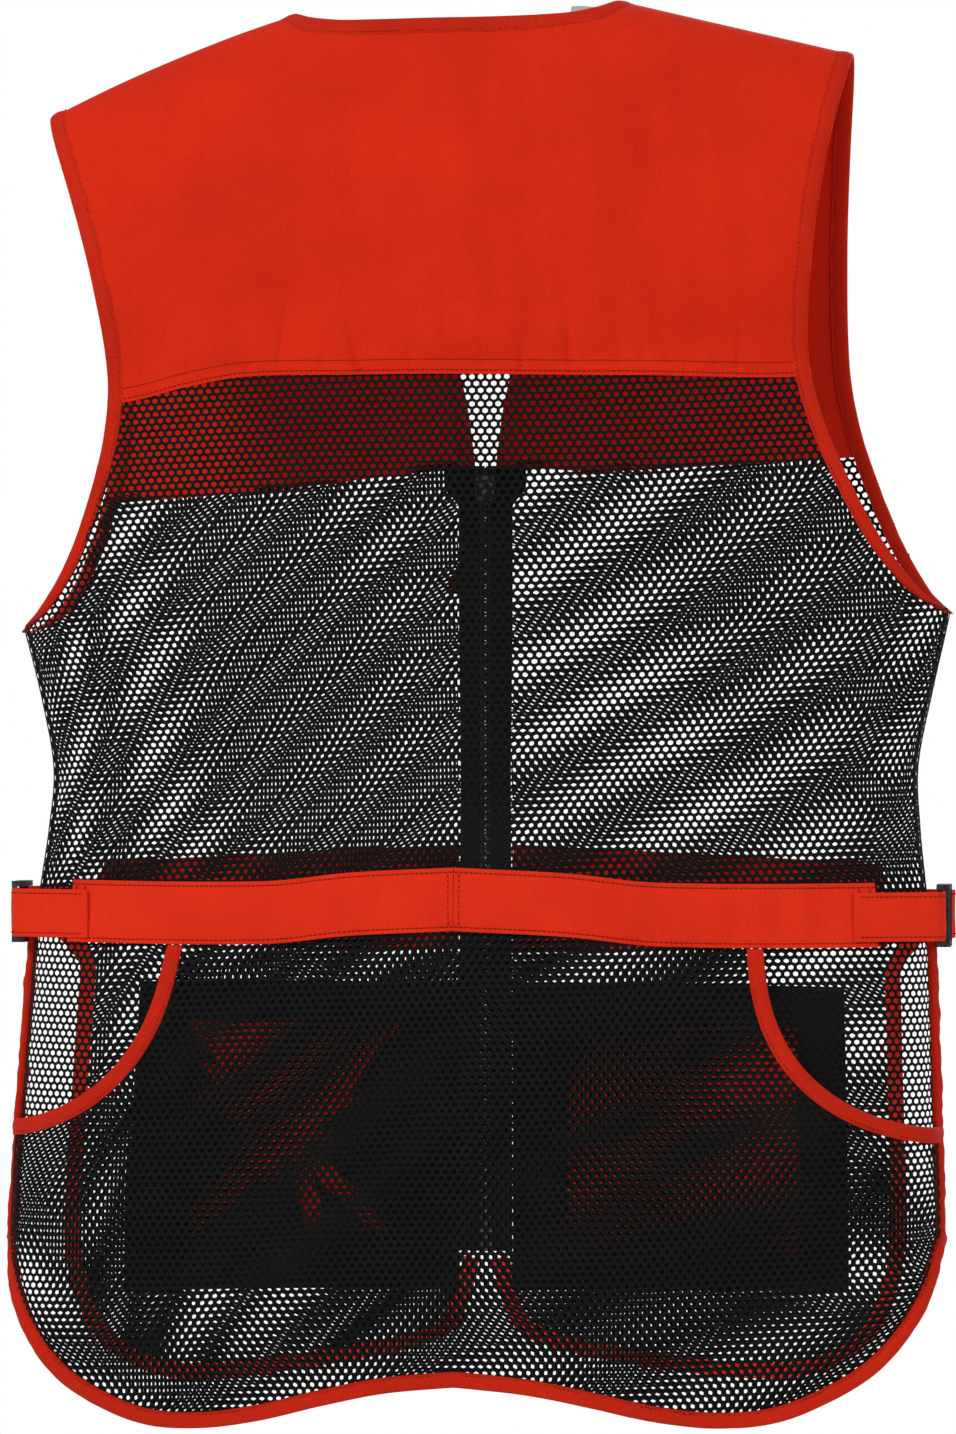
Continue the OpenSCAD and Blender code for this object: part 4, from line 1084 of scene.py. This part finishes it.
def front_hem_binding(side):
    rim, start = float(girth_of(240, hem_level)), float(girth_of(3.6, hem_level))
    g = mix(start, rim, 0.5 - 0.5 * np.cos(np.linspace(0, math.pi, 240)))
    up = np.linspace(front_hem_drop - 90, 512, 60)
    hem, vent = pairs(g, front_hem(x_of(g, hem_level))), pairs(front_edge_girth(up), up)
    path = even(np.concatenate([hem, vent]), 2.5) * [side, 1]
    inner = inward(path, (side * 125, 560), binding_width)
    name = SIDE_NAMES[side]
    piece = binding(f"front_hem_binding_{name}_cloth", path, inner, FRONT, 271 + side)
    turns_at_seam(piece, side, "orange_binding", f"front_hem_binding_{name}")


# ---- waist
def flat_band(parts, top, bottom, face, middle, thickness, seed, relief):
    """Wide flat band with wrinkles between two paths; gives the height of its outer face at any place."""
    around = 44
    run = np.concatenate([[0], np.cumsum(np.abs(np.diff(top[:, 0])))])
    phase = np.linspace(0, 2 * math.pi, around, endpoint=False)
    across = 0.5 - 0.5 * squarish(np.cos(phase), 0.9)
    lift = squarish(np.sin(phase), 0.25)
    for pinch in (0.07, 0.93):
        lift = lift * (1 - 0.35 * np.exp(-((across - pinch) / 0.03) ** 2))
    girth = mix(top[:, None, 0], bottom[:, None, 0], across[None])
    drop = mix(top[:, None, 1], bottom[:, None, 1], across[None])
    body = np.sin(math.pi * across)[None] ** 0.5
    folds = relief * waves(girth, drop * 0.25, 30, seed, 9) * body
    folds = folds + 0.5 * relief * waves(girth, drop, 90, seed + 1)
    off = middle + folds + lift[None] * thickness / 2
    points = skin(girth, drop, face, off)
    width = np.abs(top[0, 1] - bottom[0, 1])
    add_tube(parts, points, cloth_uv(run[:, None], across[None] * width))

    def height(g, d):
        wrinkles = waves(g, d * 0.25, 30, seed, 9) + waves(g, d, 90, seed + 1)
        return middle + 0.5 * relief * wrinkles + 0.36 * thickness

    return height


def waist_belt(side):
    end = float(girth_of(belt_half, belt_drop))
    g = np.linspace(0.15, end, 150) * side
    top = pairs(g, curve(belt_outline, np.abs(x_of(g, belt_drop))))
    bottom = top + [0, belt_width]
    parts = Parts()
    height = flat_band(parts, top, bottom, BACK, over_low + 1.5, 2.6, 401 + side, relief=1.0)
    sew_along(parts, top, bottom, (0.07, 0.93), BACK, height)
    for at, girth in ((0, side * 3.0), (-1, side * (end - 3)), (-1, side * (end - 9))):
        d = np.linspace(top[at, 1] + 3, bottom[at, 1] - 3, 40)
        g_line = np.full_like(d, girth)
        stitch_on(parts, g_line, d, BACK, height(g_line, d) + 0.35)
    name = SIDE_NAMES[side]
    piece = parts.build(f"waist_belt_{name}_cloth", [BELT, THREAD_DARKENED_FOR_SHADE])
    rides(piece, "vest_back", "orange_belt", f"waist_belt_{name}")


def front_waistband(side):
    end = float(girth_of(belt_half, belt_drop))
    s = np.linspace(0, 1, 130)
    g = side * mix(tape_reach + layer_gap, end, s)
    top, bottom = pairs(g, mix(468, 478, s)), pairs(g, mix(528, 524, s))
    parts = Parts()
    height = flat_band(parts, top, bottom, FRONT, over_low + 0.5, 1.8, 421 + side, relief=0.5)
    sew_along(parts, top, bottom, (0.05, 0.95), FRONT, height)
    name = SIDE_NAMES[side]
    piece = parts.build(f"front_waistband_{name}_cloth", [POPLIN, THREAD_DARKENED_FOR_SHADE])
    turns_at_seam(piece, side, "orange_poplin", f"front_waistband_{name}")


def strap_x(side):
    """Where the side strap stands, outside the side seam."""
    x = side * float(half_width(strap_drop))
    weight = x * x / (x * x + neck_half ** 2)
    return x + float(curve(lean_outline, strap_drop)) * weight + side * strap_stand_off


def strap_band(parts, path, seed):
    """Webbing on edge along a plan path of (x, y), with its middle at the straps' height."""
    thickness, relief, around = 1.5, 0.25, 28
    path = even(path, 1.6)
    count = len(path)
    tangent = np.gradient(path, axis=0)
    tangent /= np.linalg.norm(tangent, axis=1, keepdims=True)
    normal = np.stack([tangent[:, 1], -tangent[:, 0], np.zeros(count)], -1)
    run = run_along(path)
    spine = np.stack([path[:, 0], path[:, 1], np.full(count, -strap_drop)], -1)
    phase = np.linspace(0, 2 * math.pi, around, endpoint=False)
    up = squarish(np.cos(phase), 0.85)
    lift = squarish(np.sin(phase), 0.3)
    folds = relief * waves(run[:, None], up[None] * strap_width * 0.2, 14, seed) * (1 - up[None] ** 2)
    points = (spine[:, None] + up[None, :, None] * np.array([0, 0, 1]) * strap_width / 2
              + normal[:, None] * (lift[None, :, None] * thickness / 2 + folds[..., None]))
    add_tube(parts, points, cloth_uv(run[:, None], up[None] * strap_width / 2))
    for sign in (1, -1):
        for height in (0.41, -0.41):
            line = spine + np.array([0, 0, height * strap_width]) + sign * normal * thickness * 0.5
            add_stitches(parts, line[2:-2], sign * normal[2:-2])


def through(knots):
    """Smooth plan path through a few points."""
    at = np.linspace(0, 1, len(knots))
    t = np.linspace(0, 1, 80)
    return np.stack([curve(list(zip(at, knots[:, k])), t) for k in (0, 1)], -1)


def straps(side):
    name = SIDE_NAMES[side]
    x = strap_x(side)
    end_girth = side * float(girth_of(belt_half + 1, strap_drop))
    back_end = skin(end_girth, strap_drop, BACK, over_low + 1.2)[:2]
    straight = np.array([x, 27.0])
    bend = mix(straight, back_end, 0.5) + [side * 1.5, 1.5]
    seam_girth = side * float(girth_of(belt_half - 10, strap_drop))
    seam_inner = skin(seam_girth, strap_drop, BACK, over_low + 3.4)[:2]
    parts = Parts()
    knots = np.array([[x, -15.8], [x, 10], straight, bend,
                      back_end + [side * 2, 1.6], seam_inner + [0, 0.6]])
    strap_band(parts, through(knots), 441 + side)
    piece = parts.build(f"side_strap_{name}_cloth", [BELT, THREAD_DARKENED_FOR_SHADE])
    rides(piece, "vest_back", "orange_belt", f"side_strap_{name}")

    front_end = skin(end_girth, strap_drop, FRONT, over_low + 1.2)[:2]
    start = np.array([x, -16.6])
    bend = mix(start, front_end, 0.5) + [side * 4, -3]
    knots = np.array([start, start + [side * 3.5, -6], bend, front_end])
    parts = Parts()
    strap_band(parts, through(knots), 451 + side)
    piece = parts.build(f"front_strap_{name}_cloth", [BELT, THREAD_DARKENED_FOR_SHADE])
    turns_at_seam(piece, side, "orange_belt", f"front_strap_{name}")


# ---- zip
def zip_pieces():
    for side in (LEFT, RIGHT):
        name = SIDE_NAMES[side]
        d = np.linspace(zip_top, zip_bottom, 240)
        flare = 7.5 * smooth((zip_top + 24 - d) / 12)
        edge = pairs(side * 0.35, d)
        inner = pairs(side * (tape_reach + flare), d)
        parts = Parts()
        add_band(parts, edge, inner, FRONT, 0.4, 0.9, pinches=(0.55,), seed=461 + side)
        for fraction in (0.5, 0.88):
            sew_through(parts, edge, inner, fraction, FRONT, 0.4, 0.42)
        piece = parts.build(f"zip_tape_{name}_cloth", [TAPE, DARK_THREAD])
        rides(piece, f"front_{name}", "zip_tape", f"zip_tape_{name}")
        chain(side)


def rounded_block(parts, centre, size):
    """Small block with rounded corners: a cube's faces pushed towards an ellipsoid."""
    n = 5
    t = np.linspace(-1, 1, n)
    u, v = np.meshgrid(t, t)
    flats = []
    for axis in range(3):
        for sign in (1, -1):
            p = np.empty((n, n, 3))
            p[..., axis] = sign
            p[..., (axis + 1) % 3] = u * sign
            p[..., (axis + 2) % 3] = v
            flats.append(p)
    p = np.stack(flats)
    length = np.sum(np.abs(p) ** 5, axis=-1, keepdims=True) ** (1 / 5)
    p = p / length
    quads = grid_quads(n, n)
    for flat in p:
        parts.add(flat * np.array(size) / 2 + np.array(centre), quads, np.zeros((n * n, 2)))


def chain(side):
    """Moulded teeth on a beaded cord; the two sides' teeth lie between each other."""
    name = SIDE_NAMES[side]
    pitch = 4.0
    top, bottom = slider_top + 1, zip_bottom - 17
    middle = -front_depth - 0.4
    parts = Parts()
    t = np.linspace(top, bottom, 200)
    phase = np.linspace(0, 2 * math.pi, 10, endpoint=False)
    ring = np.stack([np.cos(phase) * 0.9, np.sin(phase), 0 * phase], -1)
    spine = np.stack([np.full_like(t, side * 2.3), np.full_like(t, middle), -t], -1)
    points = spine[:, None] + ring[None]
    parts.add(points, grid_quads(len(t), 10, wrap=True), cloth_uv(t[:, None], phase[None]))
    start = top + (1.2 if side == LEFT else 3.2)
    for z in np.arange(start, bottom - 0.5, pitch):
        rounded_block(parts, (side * 1.6, middle, -z), (3.0, 2.4, 1.3))
        rounded_block(parts, (side * 0.1, middle, -z), (1.7, 2.2, 1.75))
    piece = parts.build(f"zip_chain_{name}_teeth", [TEETH], crease=60)
    rides(piece, f"front_{name}", "zip_teeth", f"zip_chain_{name}")


def pull_ribbon():
    """Short ribbon through the pull tab's eye, a little curled."""
    eye_drop = pivot_drop + 25
    lean_angle = math.radians(ribbon_lean)
    rows, half_thick = 60, 0.8
    s = np.linspace(-4.0, ribbon_length, rows)
    across = np.array([math.cos(lean_angle), 0, math.sin(lean_angle)])
    down = np.array([math.sin(lean_angle), 0, -math.cos(lean_angle)])
    outward = np.array([0, -1, 0])
    origin = np.array([0, -front_depth - pivot_off, -eye_drop])
    phase = np.linspace(0, 2 * math.pi, 20, endpoint=False)
    half = np.interp(s, [-4, 4, ribbon_length * 0.75, ribbon_length], [2.0, 3.6, 5.2, 5.2])
    wide = squarish(np.cos(phase), 0.8)
    lift = squarish(np.sin(phase), 0.4) * half_thick
    curl = 0.5 * np.sin(s / 9)
    points = (origin + s[:, None, None] * down + wide[None, :, None] * half[:, None, None] * across
              + (lift[None] + curl[:, None])[..., None] * outward)
    parts = Parts()
    add_tube(parts, points, cloth_uv(s[:, None], wide[None] * 5))
    for sign in (1, -1):
        line = origin + s[8:-3, None] * down + (sign * (half_thick + 0.05) + curl[8:-3, None]) * outward
        add_stitches(parts, line, np.tile(sign * outward, (len(line), 1)))
    piece = parts.build("pull_ribbon_cloth", [BINDING, THREAD_DARKENED_FOR_SHADE])
    rides(piece, "zip_pull", "orange_binding", "pull_ribbon")


# ---- pockets
def pocket_girths(sides):
    return tuple(float(girth_of(x, pocket_level)) for x in sides)


def pocket(side):
    name = SIDE_NAMES[side]
    base_g, rim_g = pocket_girths(pocket_sides), pocket_girths(patch_sides)

    # the pocket's back is the front mesh itself inside a wide frame of black cloth
    parts = Parts()
    inside, outside = base_g[0] - 8.5, base_g[1]
    top, bottom = pocket_drops
    ring = np.array([[inside, top], [outside, top], [outside, bottom], [inside, bottom], [inside, top]])
    path = even(ring, 2.0) * [side, 1]
    middle = np.array([side * (inside + outside) / 2, (top + bottom) / 2])
    half = np.array([(outside - inside) / 2, (bottom - top) / 2])
    inner = middle + (path - middle) * (half - [27.5, 22]) / half
    rows = (0.12, 0.85)
    add_band(parts, path, inner, FRONT, over_low + 0.6, 1.3, around=32, pinches=rows, seed=503 + side)
    sew_along(parts, path, inner, rows, FRONT, over_low + 1.1)
    piece = parts.build(f"pocket_backing_{name}_frame", [LINING, DARK_THREAD])
    rides(piece, f"front_{name}", "black_cloth", f"pocket_backing_{name}")

    def crown(g, d):
        """How far the patch swells."""
        u = (np.abs(g) - rim_g[0]) / (rim_g[1] - rim_g[0])
        v = (d - patch_drops[0]) / (patch_drops[1] - patch_drops[0])
        return 1.4 * np.sin(math.pi * u) * np.sin(math.pi * v) + 0.5 * waves(g, d, 34, 511 + side)

    def sew(g, d):
        stitch_on(parts, g, d, FRONT, pocket_depth + 1.15 + crown(g, d))

    parts = Parts()
    g, d = np.meshgrid(np.linspace(*rim_g, 60) * side, np.linspace(*patch_drops, 60))
    swell = crown(g, d)
    add_slab(parts, g, d, FRONT, pocket_depth + swell, pocket_depth + 1.1 + swell)
    for inset_by in (2.5, 8.5):
        for edge in (rim_g[0] + inset_by, rim_g[1] - inset_by):
            d = np.linspace(patch_drops[0] + 22, patch_drops[1] - inset_by, 100)
            sew(np.full_like(d, side * edge), d)
        g = np.linspace(rim_g[0] + inset_by, rim_g[1] - inset_by, 100) * side
        sew(g, np.full_like(g, patch_drops[1] - inset_by))
    piece = parts.build(f"pocket_front_{name}_cloth", [POPLIN, THREAD_DARKENED_FOR_SHADE])
    rides(piece, f"pocket_{name}", "orange_poplin", f"pocket_front_{name}")

    parts = Parts()
    g = np.linspace(rim_g[0] - 0.5, rim_g[1] + 0.5, 110) * side
    top = pairs(g, patch_drops[0] - 0.5)
    bottom = top + [0, 20.5]
    height = flat_band(parts, top, bottom, FRONT, pocket_depth + 2.5, 1.6, 521 + side, relief=0.35)
    sew_along(parts, top, bottom, (0.1, 0.88), FRONT, lambda g, d: height(g, d) + 0.1)
    piece = parts.build(f"pocket_mouth_{name}_band", [BINDING, THREAD_DARKENED_FOR_SHADE])
    rides(piece, f"pocket_{name}", "orange_poplin", f"pocket_mouth_{name}")

    gusset_walls(side, name, base_g, rim_g)


def gusset_walls(side, name, base_g, rim_g):
    """Three sloping walls of black cloth, each with a pleat, from the backing's edge to the front's edge."""
    low, high = over_low + 1.2, pocket_depth - 0.8
    count = 60
    t = np.linspace(0, 1, 26)
    pocket_middle = np.array([(rim_g[0] + rim_g[1]) / 2, (patch_drops[0] + patch_drops[1]) / 2])

    def upright(girth, drops):
        return pairs(girth, np.linspace(*drops, count))

    def level(girths, drop):
        return pairs(np.linspace(*girths, count), drop)

    walls = {
        "inner": (upright(base_g[0], pocket_drops), upright(rim_g[0], patch_drops)),
        "bottom": (level(base_g, pocket_drops[1]), level(rim_g, patch_drops[1])),
        "outer": (upright(base_g[1], pocket_drops), upright(rim_g[1], patch_drops)),
    }
    for wall, (base, rim) in walls.items():
        places = mix(base[None], rim[None], t[:, None, None])
        to_middle = pocket_middle - places
        to_middle /= np.linalg.norm(to_middle, axis=-1, keepdims=True)
        uneven = 1 + 0.45 * waves(places[..., 0], places[..., 1], 40, 551)
        pleat = np.sin(math.pi * t)[:, None] * PLEAT[side] * uneven
        places = places + to_middle * pleat[..., None]
        girth, drop = side * places[..., 0], places[..., 1]
        sag = 1.6 * np.sin(math.pi * t)[:, None] * (1 + 0.5 * waves(girth, drop, 22, 531 + side))
        off = mix(low, high, t)[:, None] - sag
        quads, uv = grid_quads(*girth.shape), cloth_uv(girth, drop)
        parts = Parts()
        parts.add(skin(girth, drop, FRONT, off), quads, uv)
        parts.add(skin(girth, drop, FRONT, off - 0.7), quads[:, ::-1], uv)
        piece = parts.build(f"pocket_gusset_{name}_{wall}", [LINING])
        axis = 2 if wall == "bottom" else 0
        start, end = [0, 0, 0], [0, 0, 0]
        for at, path in ((start, base), (end, rim)):
            at[axis] = float(skin(side * path[count // 2, 0], path[count // 2, 1], FRONT, low)[axis] * MM)
        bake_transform(piece)
        stands_for([f"pocket_gusset_{name}"] if wall == "inner" else [])


# ---- hard parts keep their CAD shape
def hard_parts():
    looks = {"tri_glide_left": PLASTIC, "tri_glide_right": PLASTIC, "zip_box": TEETH, "zip_pin": TEETH,
             "zip_top_stop_left": TEETH, "zip_top_stop_right": TEETH,
             "zip_slider": ENAMEL, "zip_pull": ENAMEL}
    for name, material in looks.items():
        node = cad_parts[name]
        node.data.materials.clear()
        node.data.materials.append(material)
        bevel = node.modifiers.new("rounded_edges", "BEVEL")
        bevel.width = 0.0006 if name.startswith("tri_glide") else 0.00025
        bevel.segments = 3
        bevel.limit_method = "ANGLE"


camera_and_light()
neck_bindings()
back_yoke()
meshes()
back_hem_binding()
game_bag_bindings()
size_label()
hang_loop()
for side in (LEFT, RIGHT):
    front_yoke(side)
    shoulder_pad(side)
    armhole_bindings(side)
    side_seam_tape(side)
    front_hem_binding(side)
    waist_belt(side)
    front_waistband(side)
    straps(side)
    pocket(side)
zip_pieces()
pull_ribbon()
hard_parts()
